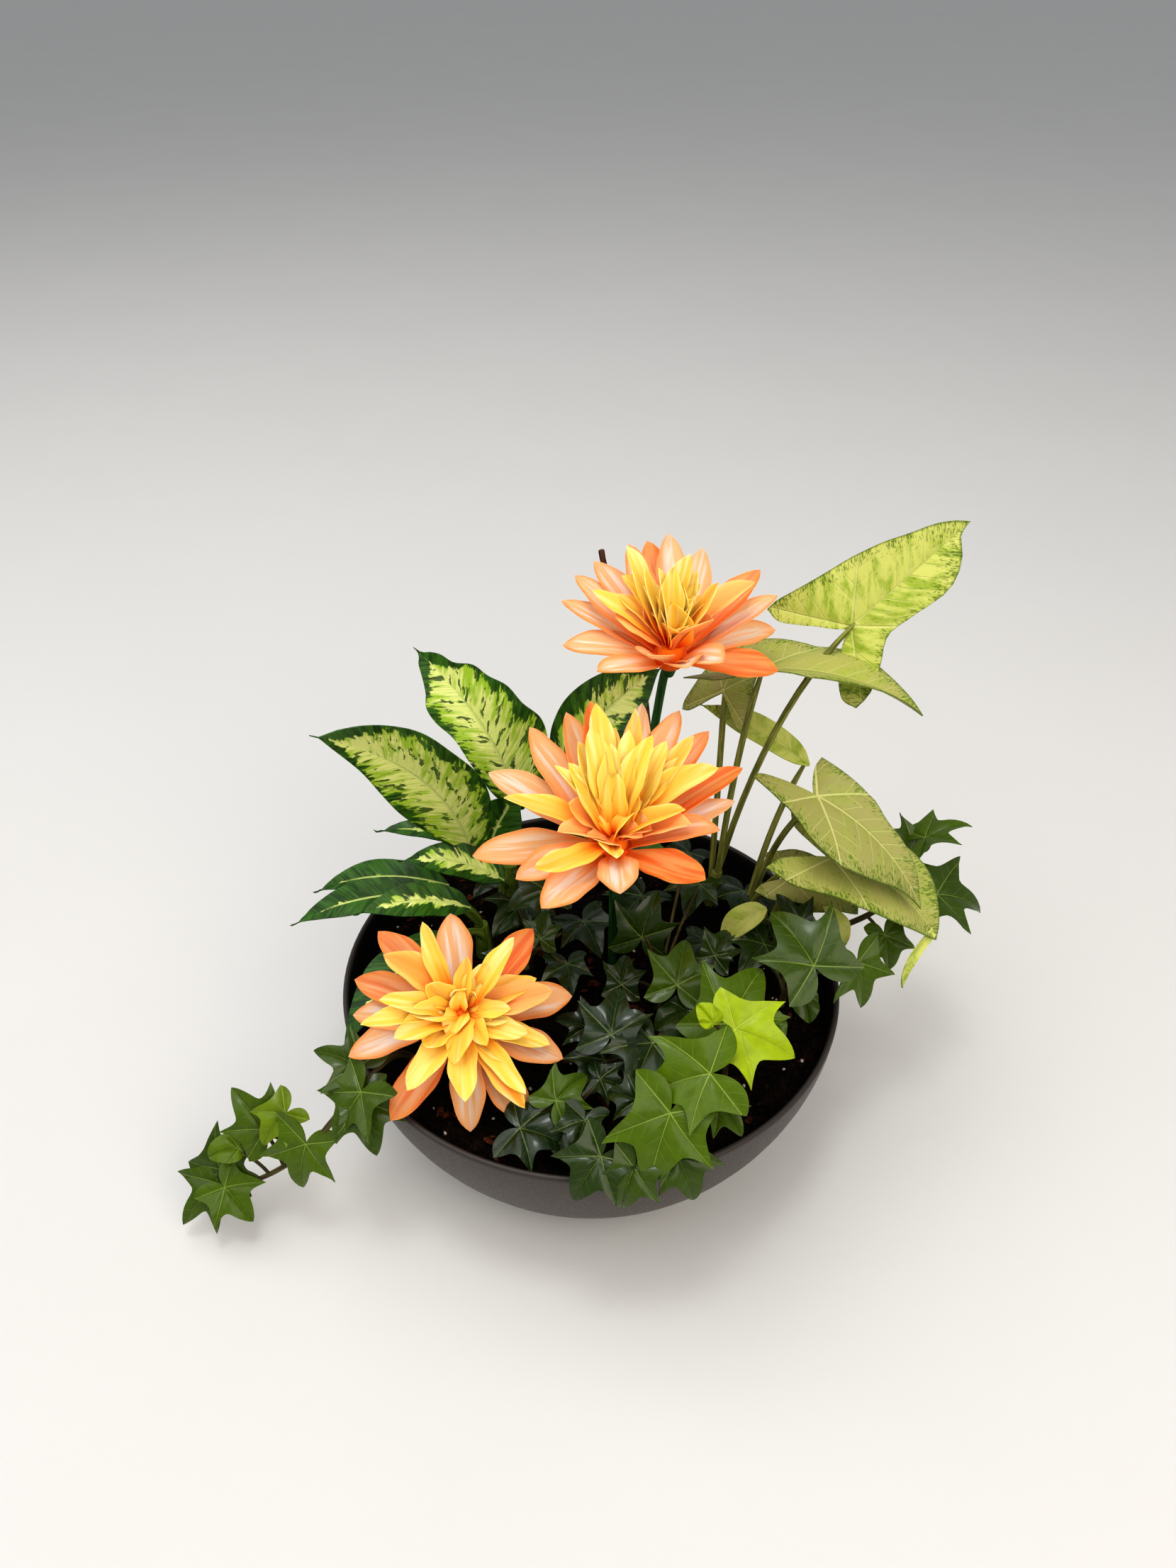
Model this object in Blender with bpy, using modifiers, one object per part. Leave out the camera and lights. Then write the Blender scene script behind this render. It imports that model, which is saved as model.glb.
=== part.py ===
"""Dish garden: a low round bowl of soil with dieffenbachia, syngonium, ivy and three fabric blooms on wires.

All tables are in millimetres and degrees, and the finished meshes are in metres. The origin is the centre of
the bowl's underside, +Z is up and -Y is the front. Each plant is built from blades, which are its leaves, and
round stems. Every blade is a flat outline laid over a bent midrib, then thickened. The pieces of one node are
joined by one union.
"""

import math
import random

import bmesh
import bpy
from mathutils import Vector

metre = 0.001
collectionName = "dishGarden"

# The bowl and the soil

rimRadius = 127.0
rimHeight = 95.0
footRadius = 62.0
wallThickness = 3.0
wallPower = 1.68
bowlSegments = 40
cornerFill = 1.2
cornerHeight = 30.0
floorHeight = 3.6
soilLevel = 82.0
soilRelief = 1.6
soilGap = 0.35
soilSideGap = 0.6

# Stems stand in plain holes in the soil. The three blooms stand on wires.

stemSunk = 12.0
holeGap = 0.35
holeSides = 8
wireRadius = 2.2

# Blade thicknesses, and the radii of the leaf stalks

leafThickness = 0.8
ivyThickness = 0.7
petalThickness = 0.7
lanceStalk = 2.0
arrowStalk = 1.7
ivyStalk = 0.9

# Parts of a bloom along its axis, from the middle of its petals: (low, high, low radius, high radius)

cupCore = (-12.0, -3.3, 2.6, 5.2)
outerCore = (-3.0, 2.0, 7.4, 8.2)
innerCore = (2.3, 8.0, 6.4, 5.2)
coreSides = 10

# Triangles that lie flatter to each other than this, in degrees, are joined after a union. Points nearer than
# a merge distance are joined too.

flatAngle = 1.5
mergeDistances = (0.02, 0.012, 0.03, 0.006, 0.003)

# Half outlines, from the tip to the joint with the leaf stalk. Each pair is (along, across), in units of the
# length from the joint to the tip.

ivyShapes = {
    "broad": [(1.0, 0.0), (0.7, 0.2), (0.46, 0.28), (0.5, 0.7), (0.06, 0.5), (-0.3, 0.57), (-0.35, 0.22)],
    "deep": [(1.0, 0.0), (0.66, 0.17), (0.36, 0.24), (0.46, 0.74), (0.04, 0.4), (-0.36, 0.62), (-0.32, 0.2)],
    "bud": [(1.0, 0.0), (0.7, 0.34), (0.3, 0.5), (0.0, 0.4), (-0.12, 0.14)],
}

# The leaves of the syngonium, with two lobes behind the joint.

arrowShapes = {
    "wide": [
        (1.0, 0.0),
        (0.92, 0.1),
        (0.76, 0.22),
        (0.5, 0.32),
        (0.22, 0.39),
        (-0.06, 0.47),
        (-0.27, 0.52),
        (-0.37, 0.48),
        (-0.24, 0.28),
        (-0.1, 0.12),
    ],
    "narrow": [
        (1.0, 0.0),
        (0.86, 0.09),
        (0.62, 0.2),
        (0.34, 0.26),
        (0.08, 0.28),
        (-0.16, 0.27),
        (-0.36, 0.22),
        (-0.26, 0.1),
    ],
}

# Half widths of the long leaves and of the petals, as (along, share of the greatest half width).

lanceShape = [(0.0, 0.12), (0.12, 0.66), (0.3, 0.96), (0.5, 1.0), (0.7, 0.83), (0.88, 0.42), (1.0, 0.0)]
petalShape = [(0.0, 0.0), (0.42, 0.88), (0.78, 0.86), (1.0, 0.0)]
smallPetalShape = [(0.0, 0.0), (0.62, 1.0), (1.0, 0.0)]
tailShape = [(0.0, 0.9), (0.4, 1.0), (0.75, 0.6), (1.0, 0.0)]

# Blooms. The first three values are the middle of the petals, the lean towards the front and the stem. Each
# outer petal is (turn about the stem, rise, length). A whorl is (count, extra rise, length, half width).

blooms = {
    "middleBloom": {
        "centre": (11, -2, 179),
        "lean": 15,
        "stem": [(11, 6, 70), (11, 6, 92), (11, 4, 130), (11, 0, 162)],
        "rise": 27,
        "backRise": 10,
        "petalWidth": 10.5,
        "outer": [
            (-172, 4, 67),
            (156, 23, 69),
            (134, 31, 68),
            (113, 35, 66),
            (78, 37, 68),
            (58, 36, 70),
            (40, 31, 70),
            (22, 25, 70),
            (2, 19, 61),
            (-19, 24, 57),
            (-43, 27, 60),
            (-89, 24, 48),
            (-126, 20, 60),
            (-147, 17, 56),
        ],
        "inner": [(9, 18, 52, 9.0), (6, 36, 38, 8.0), (3, 54, 26, 6.0)],
    },
    "topBloom": {
        "centre": (38, 62, 244),
        "lean": 14,
        "stem": [(24, 62, 70), (24, 62, 92), (27, 63, 150), (35, 65, 226)],
        "rise": 42,
        "backRise": -4,
        "petalWidth": 9.5,
        "outer": [
            (180, 8, 52),
            (163, 20, 58),
            (147, 28, 59),
            (118, 37, 57),
            (92, 41, 58),
            (67, 39, 55),
            (33, 33, 57),
            (17, 25, 57),
            (1, 14, 53),
            (-16, 6, 53),
            (-47, 36, 48),
            (-80, 46, 42),
            (-112, 47, 42),
            (-144, 26, 48),
        ],
        "inner": [(8, 12, 45, 8.0), (6, 24, 38, 7.0), (3, 38, 28, 5.0)],
    },
    "frontBloom": {
        "centre": (-60, -58, 123),
        "lean": 25,
        "stem": [(-60, -50, 70), (-60, -50, 88), (-60, -53, 100), (-60, -56, 110)],
        "rise": 8,
        "backRise": 7,
        "petalWidth": 10.0,
        "outer": [
            (138, 19, 56),
            (99, 10, 50),
            (50, 14, 52),
            (10, 5, 52),
            (-23, 0, 51),
            (-57, -7, 57),
            (-84, -9, 52),
            (-123, -3, 56),
            (-158, 4, 54),
            (-178, 9, 50),
            (164, 13, 53),
        ],
        "inner": [(9, 21, 43, 9.0), (6, 42, 32, 8.0), (3, 60, 22, 6.0)],
    },
}

# Leaves: (kind, start of the stalk, joint, tip, direction faced, half width or shape, bend, fold, wave). The
# bend lifts the middle of the midrib, the fold raises both halves of the blade and the wave ruffles its edge.

plants = {
    "dieffenbachiaTall": {
        "stem": [(-44, 46, 70), (-44, 46, 90), (-45, 47, 106), (-44, 50, 122)],
        "radii": [6.0, 5.8, 5.4, 4.5],
        "leaves": [
            ("lance", (-45, 47, 112), (-62, 42, 137), (-125, 14, 230), (-0.35, -0.8, 0.5), 21.0, 14, 12, 1.2),
            ("lance", (-44, 50, 118), (-38, 64, 148), (-86, 82, 234), (-0.1, -0.85, 0.5), 22.0, 9, 12, 1.6),
            ("lance", (-45, 48, 108), (-54, 56, 128), (-38, 60, 160), (0.1, -0.8, 0.6), 13.0, 3, 12, 0.6),
            ("lance", (-45, 46, 104), (-46, 34, 124), (-96, 34, 138), (0.0, -0.45, 0.9), 10.5, 6, 24, 0.8),
            ("lance", (-45, 48, 106), (-72, 66, 124), (-114, 70, 128), (0.0, -0.3, 0.95), 6.0, 4, 20, 0.3),
        ],
    },
    "dieffenbachiaBack": {
        "stem": [(-6, 84, 70), (-6, 84, 92), (-8, 84, 120), (-8, 86, 150)],
        "radii": [5.5, 5.2, 4.6, 3.6],
        "leaves": [
            ("lance", (-8, 85, 144), (-16, 86, 160), (35, 95, 216), (-0.1, -0.8, 0.6), 19.5, 5, 12, 1.0),
            ("lance", (-8, 84, 116), (4, 58, 124), (46, 36, 128), (0.0, -0.4, 0.9), 11.0, 5, 18, 0.8),
        ],
    },
    "dieffenbachiaLow": {
        "stem": [(-57, 22, 70), (-57, 22, 88), (-58, 22, 104)],
        "radii": [5.0, 4.6, 3.6],
        "leaves": [
            ("lance", (-57, 22, 98), (-76, 40, 115), (-146, 44, 108), (0.0, -0.35, 0.93), 9.5, 8, 22, 0.8),
            ("lance", (-57, 22, 100), (-78, 27, 119), (-150, 10, 117), (0.0, -0.4, 0.9), 10.0, 8, 20, 0.8),
            ("lance", (-58, 21, 102), (-62, 13, 124), (-113, -5, 138), (0.1, -0.5, 0.85), 9.5, 6, 20, 0.8),
            ("lance", (-57, 20, 96), (-66, 4, 114), (-118, -56, 100), (-0.35, -0.1, 0.93), 15.0, 14, 14, 0.8),
        ],
    },
    "syngoniumTall": {
        "stem": [(68, 62, 70), (68, 62, 90), (69, 62, 98), (70, 62, 106)],
        "radii": [4.2, 4.0, 3.6, 3.0],
        "leaves": [
            ("wide", (70, 62, 104), (130, 88, 246), (177, 84, 304), (-0.05, -0.82, 0.58), 1.0, 0, 7, 0.8),
            ("narrow", (70, 61, 102), (83, 74, 229), (164, 54, 216), (-0.1, 0.22, 0.97), 1.1, 9, 12, 1.2),
            ("wide", (67, 63, 98), (70, 100, 200), (92, 132, 212), (0.0, -0.15, 0.98), 0.95, 6, -16, 1.0),
        ],
    },
    "syngoniumMiddle": {
        "stem": [(86, 44, 70), (86, 44, 86), (86, 44, 94), (87, 44, 101)],
        "radii": [3.8, 3.6, 3.2, 2.8],
        "leaves": [
            ("narrow", (87, 44, 98), (111, 28, 185), (160, -12, 147), (0.35, -0.6, 0.72), 1.15, 9, 10, 1.0),
            ("lance", (86, 46, 97), (119, 90, 158), (60, 104, 188), (0.2, -0.6, 0.75), 9.0, 3, 24, 0.5),
            ("narrow", (86, 43, 94), (119, 14, 157), (172, -10, 124), (0.25, -0.45, 0.85), 1.3, 9, 12, 1.0),
            ("tail", None, None, (157, -18, 98), (0.5, -0.3, 0.8), 3.4, 7, 20, 0.0),
        ],
    },
    "syngoniumLow": {
        "stem": [(94, 28, 70), (94, 28, 86), (95, 28, 96)],
        "radii": [3.4, 3.0, 2.6],
        "leaves": [
            ("narrow", (95, 28, 92), (104, 31, 128), (139, 17, 116), (0.1, -0.4, 0.9), 1.5, 5, 10, 0.8),
            ("lance", (94, 28, 88), (91, 18, 119), (68, 12, 101), (-0.2, -0.5, 0.8), 7.5, 4, 18, 0.5),
            ("lance", (95, 27, 91), (117, 6, 132), (126, -8, 115), (0.3, -0.3, 0.9), 5.0, 7, 20, 0.4),
        ],
    },
    "ivyTrailing": {
        "stem": [
            (-86, -56, 70),
            (-86, -56, 90),
            (-93, -67, 105),
            (-104, -82, 104),
            (-122, -86, 80),
            (-136, -85, 58),
            (-154, -84, 40),
            (-170, -83, 28),
        ],
        "radii": [1.7, 1.7, 1.6, 1.5, 1.5, 1.4, 1.3, 1.1],
        "leaves": [
            ("ivy", (-98, -74, 104), (-107, -76, 109), (-131, -69, 113), (-0.1, -0.45, 0.9), "deep", 2, 6, 0),
            ("ivy", (-106, -83, 101), (-104, -89, 107), (-118, -103, 84), (-0.5, -0.6, 0.6), "deep", 2, 6, 0),
            ("ivy", (-104, -82, 104), (-104, -90, 101), (-96, -110, 84), (0.1, -0.7, 0.7), "broad", 2, 6, 0),
            ("ivy", (-130, -85, 66), (-135, -88, 67), (-140, -96, 38), (-0.2, -0.8, 0.6), "deep", 2, 6, 0),
            ("ivy", (-140, -85, 54), (-146, -76, 74), (-158, -86, 60), (-0.3, -0.65, 0.7), "broad", 2, 6, 0),
            ("ivy", (-150, -84, 44), (-158, -76, 62), (-177, -62, 78), (-0.2, -0.6, 0.75), "broad", 2, 6, 0),
            ("ivy", (-158, -84, 37), (-171, -80, 52), (-188, -84, 50), (-0.2, -0.5, 0.85), "bud", 2, 6, 0),
            ("ivy", (-164, -83, 32), (-184, -79, 34), (-163, -68, 48), (0.0, -0.65, 0.75), "broad", 2, 6, 0),
            ("ivy", (-168, -83, 29), (-184, -84, 29), (-205, -96, 9), (-0.3, -0.6, 0.75), "deep", 2, 6, 0),
            ("ivy", (-166, -83, 31), (-180, -88, 32), (-164, -101, 19), (0.2, -0.7, 0.7), "broad", 2, 6, 0),
        ],
    },
    "ivyFrontLeft": {
        "stem": [(-16, -80, 70), (-16, -80, 88), (-8, -90, 97), (0, -98, 101)],
        "radii": [1.6, 1.6, 1.4, 1.2],
        "leaves": [
            ("ivy", (-15, -82, 91), (-22, -92, 118), (-1, -76, 122), (0.0, -0.5, 0.85), "broad", 2, 6, 0),
            ("ivy", (-15, -81, 90), (-18, -92, 95), (-12, -118, 93), (-0.1, -0.4, 0.9), "broad", 2, 6, 0),
            ("ivy", (-7, -91, 97), (4, -82, 107), (20, -88, 104), (0.1, -0.4, 0.9), "deep", 2, 6, 0),
            ("ivy", (-1, -97, 101), (-3, -105, 108), (-8, -122, 100), (-0.1, -0.4, 0.9), "broad", 2, 6, 0),
        ],
    },
    "ivyHanging": {
        "stem": [(31, -84, 70), (31, -84, 88), (32, -98, 112), (30, -116, 112)],
        "radii": [1.8, 1.7, 1.6, 1.3],
        "leaves": [
            ("ivy", (31, -92, 101), (50, -106, 141), (19, -108, 124), (0.05, -0.55, 0.85), "broad", 3, 6, 0),
            ("ivy", (32, -104, 112), (33, -117, 129), (24, -134, 97), (0.0, -0.8, 0.6), "broad", 3, 6, 0),
            ("ivy", (31, -112, 112), (36, -124, 110), (45, -135, 88), (0.15, -0.85, 0.5), "broad", 2, 6, 0),
            ("ivy", (30, -115, 112), (18, -129, 108), (12, -138, 86), (-0.1, -0.85, 0.5), "broad", 2, 6, 0),
            ("ivy", (30, -115, 112), (4, -125, 110), (-9, -137, 92), (-0.2, -0.75, 0.6), "broad", 2, 6, 0),
            ("ivy", (31, -90, 98), (55, -106, 119), (66, -118, 112), (0.2, -0.5, 0.85), "broad", 2, 6, 0),
            ("ivy", (32, -102, 112), (20, -103, 119), (4, -96, 115), (-0.1, -0.5, 0.85), "broad", 2, 6, 0),
        ],
    },
    "ivyDark": {
        "stem": [(26, -56, 70), (26, -56, 88), (26, -60, 98), (25, -64, 106)],
        "radii": [1.6, 1.6, 1.5, 1.3],
        "leaves": [
            ("ivy", (26, -61, 99), (28, -70, 118), (16, -97, 108), (0.0, -0.4, 0.9), "broad", 2, 6, 0),
            ("ivy", (25, -63, 104), (9, -68, 121), (14, -42, 128), (-0.1, -0.45, 0.9), "broad", 2, 6, 0),
            ("ivy", (26, -60, 97), (46, -44, 110), (29, -53, 106), (0.1, -0.3, 0.95), "bud", 2, 6, 0),
            ("ivy", (26, -59, 94), (-2, -54, 110), (-20, -48, 110), (-0.1, -0.4, 0.9), "deep", 2, 6, 0),
        ],
    },
    "ivyLime": {
        "stem": [(64, -62, 70), (64, -62, 90), (61, -76, 120), (58, -88, 140)],
        "radii": [1.7, 1.6, 1.4, 1.1],
        "leaves": [
            ("ivy", (64, -63, 96), (63, -63, 123), (84, -31, 131), (0.0, -0.5, 0.85), "broad", 3, 6, 0),
            ("ivy", (59, -84, 134), (62, -87, 147), (91, -95, 136), (0.1, -0.55, 0.85), "broad", 2, 6, 0),
            ("ivy", (58, -88, 139), (52, -88, 152), (45, -80, 156), (-0.1, -0.5, 0.85), "bud", 1, 6, 0),
            ("ivy", (64, -63, 92), (84, -52, 114), (90, -64, 110), (0.2, -0.5, 0.85), "bud", 1, 6, 0),
        ],
    },
    "ivyMiddle": {
        "stem": [(34, -18, 70), (34, -18, 88), (34, -17, 98), (33, -16, 110)],
        "radii": [1.6, 1.6, 1.4, 1.2],
        "leaves": [
            ("ivy", (33, -16, 107), (25, -10, 126), (34, 3, 148), (0.05, -0.8, 0.6), "broad", 2, 6, 0),
            ("ivy", (34, -17, 100), (41, -38, 122), (47, -13, 131), (0.0, -0.5, 0.85), "broad", 2, 6, 0),
            ("ivy", (34, -18, 94), (15, -25, 108), (18, -6, 112), (0.0, -0.4, 0.9), "broad", 2, 6, 0),
            ("ivy", (34, -18, 92), (62, -10, 113), (72, 6, 118), (0.1, -0.45, 0.9), "broad", 2, 6, 0),
        ],
    },
    "ivyInner": {
        "stem": [(-32, 12, 70), (-32, 12, 88), (-31, 13, 96), (-29, 14, 104)],
        "radii": [1.6, 1.6, 1.4, 1.2],
        "leaves": [
            ("ivy", (-29, 14, 101), (-23, 32, 118), (-46, 22, 112), (0.0, -0.4, 0.9), "broad", 2, 6, 0),
            ("ivy", (-31, 13, 96), (-26, 2, 113), (-23, 20, 119), (0.0, -0.5, 0.85), "broad", 1, 6, 0),
            ("ivy", (-32, 12, 92), (-42, -2, 101), (-56, -14, 97), (0.0, -0.3, 0.95), "broad", 2, 6, 0),
            ("ivy", (-31, 13, 94), (-12, -6, 103), (-10, -28, 99), (0.0, -0.4, 0.9), "broad", 2, 6, 0),
        ],
    },
    "ivyRight": {
        "stem": [(98, -16, 70), (98, -16, 90), (101, -22, 104), (104, -26, 116)],
        "radii": [1.7, 1.7, 1.5, 1.3],
        "leaves": [
            ("ivy", (104, -26, 114), (105, -38, 135), (85, -9, 146), (0.0, -0.55, 0.8), "broad", 3, 6, 0),
            ("ivy", (102, -23, 107), (131, -20, 119), (136, -28, 91), (0.4, -0.75, 0.5), "deep", 2, 6, 0),
            ("ivy", (100, -20, 100), (103, -34, 111), (106, -47, 103), (0.1, -0.5, 0.85), "bud", 1, 6, 0),
            ("ivy", (100, -19, 98), (104, 0, 124), (94, 20, 130), (0.0, -0.5, 0.85), "deep", 1, 6, 0),
        ],
    },
    "ivyFarRight": {
        "stem": [(110, 10, 70), (110, 10, 88), (122, 12, 106), (144, 16, 117), (162, 24, 126)],
        "radii": [1.7, 1.7, 1.6, 1.5, 1.3],
        "leaves": [
            ("ivy", (160, 23, 125), (177, 18, 129), (208, 22, 112), (0.2, -0.6, 0.75), "broad", 3, 6, 0),
            ("ivy", (162, 24, 126), (172, 38, 150), (198, 42, 158), (0.0, -0.3, 0.95), "broad", 2, 6, 0),
            ("ivy", (156, 21, 123), (167, 40, 140), (145, 42, 150), (0.0, -0.5, 0.85), "broad", 2, 6, 0),
            ("ivy", (142, 16, 116), (149, 2, 116), (153, -6, 96), (0.3, -0.8, 0.5), "broad", 2, 6, 0),
        ],
    },
}

# The dry brown end of an old shoot that stands behind the top bloom.

driedShoot = {
    "path": [(30, 106, 70), (30, 106, 92), (28, 104, 182), (17, 104, 219), (5, 104, 279)],
    "radii": [3.6, 3.8, 4.2, 2.8, 1.6],
}

# Colours, roughness and metal, read from the photo.

looks = {
    "bowl": ((0.085, 0.07, 0.065), 0.42, 0.1),
    "soil": ((0.022, 0.014, 0.009), 0.95, 0.0),
    "outerPetals": ((0.95, 0.36, 0.13), 0.6, 0.0),
    "innerPetals": ((1.0, 0.62, 0.1), 0.6, 0.0),
    "stem": ((0.07, 0.16, 0.05), 0.5, 0.0),
    "dieffenbachia": ((0.11, 0.21, 0.03), 0.35, 0.0),
    "syngonium": ((0.38, 0.42, 0.12), 0.5, 0.0),
    "ivy": ((0.06, 0.15, 0.02), 0.4, 0.0),
    "dried": ((0.09, 0.04, 0.03), 0.8, 0.0),
}


def material(name):
    """A Principled material with one colour, roughness and metal value."""
    found = bpy.data.materials.get(name)
    if found:
        return found
    colour, rough, metal = looks[name]
    made = bpy.data.materials.new(name)
    made.use_nodes = True
    shader = made.node_tree.nodes["Principled BSDF"]
    shader.inputs["Base Color"].default_value = (*colour, 1.0)
    shader.inputs["Roughness"].default_value = rough
    shader.inputs["Metallic"].default_value = metal
    made.diffuse_color = (*colour, 1.0)
    return made


def clearScene():
    """Removes the objects of the startup scene."""
    for obj in list(bpy.data.objects):
        bpy.data.objects.remove(obj, do_unlink=True)


def makeCollection(name):
    """A collection linked to the scene."""
    made = bpy.data.collections.new(name)
    bpy.context.scene.collection.children.link(made)
    return made


def makeObject(name, bm, collection):
    """A mesh object in metres from a bmesh in millimetres."""
    bmesh.ops.scale(bm, vec=(metre, metre, metre), verts=bm.verts[:])
    mesh = bpy.data.meshes.new(name)
    bm.to_mesh(mesh)
    bm.free()
    obj = bpy.data.objects.new(name, mesh)
    collection.objects.link(obj)
    return obj


class Spine:
    """A bent midrib from the joint through a lifted middle to the tip, with the side that the blade faces."""

    def __init__(self, joint, tip, face, bend, lift=(0.0, 0.0, 1.0)):
        self.joint = Vector(joint)
        self.tip = Vector(tip)
        self.length = (self.tip - self.joint).length
        along = (self.tip - self.joint).normalized()
        face = Vector(face)
        self.face = (face - along * face.dot(along)).normalized()
        lift = Vector(lift)
        lift = (lift - along * lift.dot(along)).normalized()
        middle = (self.joint + self.tip) / 2 + lift * bend
        self.control = middle * 2 - (self.joint + self.tip) / 2

    def point(self, along, across, fold, wave, ripples, widest):
        """The place of (along, across) on the bent blade. Across is in millimetres."""
        inner = 1.0 - along
        if along < 0:
            centre = self.joint + (self.control - self.joint) * 2 * along
            tangent = self.control - self.joint
        else:
            centre = self.joint * inner * inner + self.control * 2 * along * inner + self.tip * along * along
            tangent = (self.control - self.joint) * inner + (self.tip - self.control) * along
        tangent.normalize()
        normal = (self.face - tangent * self.face.dot(tangent)).normalized()
        side = tangent.cross(normal)
        share = min(1.0, abs(across) / widest)
        turn = 0.0 if across >= 0 else 1.7
        lift = wave * math.sin(ripples * math.tau * along + turn) * share * share
        raised = abs(across) * math.sin(math.radians(fold)) + lift
        return centre + side * across * math.cos(math.radians(fold)) + normal * raised


def stripBlade(spine, shape, halfWidth, fold, wave, ripples):
    """A blade two strips wide, one each side of the midrib. A row without width is a single point."""
    bm = bmesh.new()
    rows = []
    for along, share in shape:
        width = halfWidth * share
        places = [0.0] if width == 0 else [-width, 0.0, width]
        rows.append([bm.verts.new(spine.point(along, w, fold, wave, ripples, halfWidth)) for w in places])
    for first, second in zip(rows, rows[1:]):
        if len(first) == 1:
            bm.faces.new((first[0], second[1], second[0]))
            bm.faces.new((first[0], second[2], second[1]))
        elif len(second) == 1:
            bm.faces.new((first[0], first[1], second[0]))
            bm.faces.new((first[1], first[2], second[0]))
        else:
            bm.faces.new((first[0], first[1], second[1], second[0]))
            bm.faces.new((first[1], first[2], second[2], second[1]))
    return bm


def fanBlade(spine, half, widthShare, fold, wave, ripples, rings):
    """A lobed blade: rings of the outline about the joint, which is where the veins meet."""
    outline = list(half) + [(-0.03, 0.0)] + [(a, -b) for a, b in reversed(half[1:])]
    centre = 0.12 if rings == 1 else 0.06
    widest = max(b for a, b in half) * spine.length * widthShare
    bm = bmesh.new()
    middle = bm.verts.new(spine.point(centre, 0.0, fold, wave, ripples, widest))
    inner = None
    for ring in range(1, rings + 1):
        share = ring / rings
        loop = []
        for a, b in outline:
            across = b * spine.length * widthShare * share
            along = centre + (a - centre) * share
            loop.append(bm.verts.new(spine.point(along, across, fold, wave, ripples, widest)))
        for i in range(len(loop)):
            j = (i + 1) % len(loop)
            if inner is None:
                bm.faces.new((middle, loop[i], loop[j]))
            else:
                bm.faces.new((inner[i], loop[i], loop[j], inner[j]))
        inner = loop
    return bm


def thicken(bm, thickness):
    """Triangulates a blade, then gives it the same triangles on both faces."""
    bmesh.ops.triangulate(bm, faces=bm.faces[:], quad_method="SHORT_EDGE")
    bmesh.ops.recalc_face_normals(bm, faces=bm.faces[:])
    bmesh.ops.solidify(bm, geom=bm.faces[:], thickness=thickness)
    bmesh.ops.triangulate(bm, faces=bm.faces[:])
    bmesh.ops.recalc_face_normals(bm, faces=bm.faces[:])
    return bm


def addTube(name, path, radii, collection, resolution=1):
    """A round stem through the points of the path, closed at both ends."""
    curve = bpy.data.curves.new(name, "CURVE")
    curve.dimensions = "3D"
    curve.bevel_depth = metre
    curve.bevel_resolution = resolution
    curve.use_fill_caps = True
    spline = curve.splines.new("POLY")
    spline.points.add(len(path) - 1)
    for point, place, radius in zip(spline.points, path, radii):
        point.co = (*(Vector(place) * metre), 1.0)
        point.radius = radius
    guide = bpy.data.objects.new(name + "Guide", curve)
    bpy.context.scene.collection.objects.link(guide)
    bpy.context.view_layer.update()
    graph = bpy.context.evaluated_depsgraph_get()
    mesh = bpy.data.meshes.new_from_object(guide.evaluated_get(graph))
    bpy.data.objects.remove(guide, do_unlink=True)
    bm = bmesh.new()
    bm.from_mesh(mesh)
    bmesh.ops.remove_doubles(bm, verts=bm.verts[:], dist=1e-6)
    bmesh.ops.recalc_face_normals(bm, faces=bm.faces[:])
    bm.to_mesh(mesh)
    bm.free()
    mesh.name = name
    obj = bpy.data.objects.new(name, mesh)
    collection.objects.link(obj)
    return obj


def smoothPath(places, steps):
    """Points on a quadratic curve through three places."""
    first, middle, last = (Vector(p) for p in places)
    control = middle * 2 - (first + last) / 2
    path = []
    for i in range(steps + 1):
        t = i / steps
        path.append(first * (1 - t) * (1 - t) + control * 2 * t * (1 - t) + last * t * t)
    return path


def stalkPath(start, spine):
    """A leaf stalk that leaves the stem upwards and runs into the underside of the blade at the joint."""
    start = Vector(start)
    end = spine.joint + (spine.tip - spine.joint).normalized() * 2.4
    span = (end - start).length
    middle = (start + end) / 2 + Vector((0, 0, 1)) * span * 0.1
    middle = middle - Vector((end.x - start.x, end.y - start.y, 0)) * 0.1
    return smoothPath([start, middle, end], 4 if span > 60 else 2 if span > 16 else 1)


def uniteAll(name, pieces, collection, look):
    """Joins the pieces of one node by one union over their collection, then removes them."""
    if len(pieces.objects) == 1:
        mesh = pieces.objects[0].data
        bpy.data.objects.remove(pieces.objects[0], do_unlink=True)
        bpy.data.collections.remove(pieces)
        return finish(name, mesh, collection, look)
    base = pieces.objects[0]
    for obj in list(pieces.objects)[1:]:
        obj.hide_render = True
    pieces.objects.unlink(base)
    collection.objects.link(base)
    union = base.modifiers.new("union", "BOOLEAN")
    union.operation = "UNION"
    union.operand_type = "COLLECTION"
    union.collection = pieces
    union.solver = "MANIFOLD"
    bpy.context.view_layer.update()
    graph = bpy.context.evaluated_depsgraph_get()
    mesh = bpy.data.meshes.new_from_object(base.evaluated_get(graph))
    bpy.data.objects.remove(base, do_unlink=True)
    for obj in list(pieces.objects):
        bpy.data.objects.remove(obj, do_unlink=True)
    bpy.data.collections.remove(pieces)
    return finish(name, mesh, collection, look)


def dropHollows(bm):
    """Removes the shells that the union left inside the solid where petals close a space off."""
    left = set(bm.faces)
    hollows = []
    for first in bm.faces:
        if first not in left:
            continue
        left.remove(first)
        shell = [first]
        for face in shell:
            for edge in face.edges:
                for other in edge.link_faces:
                    if other in left:
                        left.remove(other)
                        shell.append(other)
        volume = sum(f.verts[0].co.dot(f.verts[1].co.cross(f.verts[2].co)) for f in shell)
        if volume < 0:
            hollows += shell
    bmesh.ops.delete(bm, geom=hollows, context="FACES")


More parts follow.
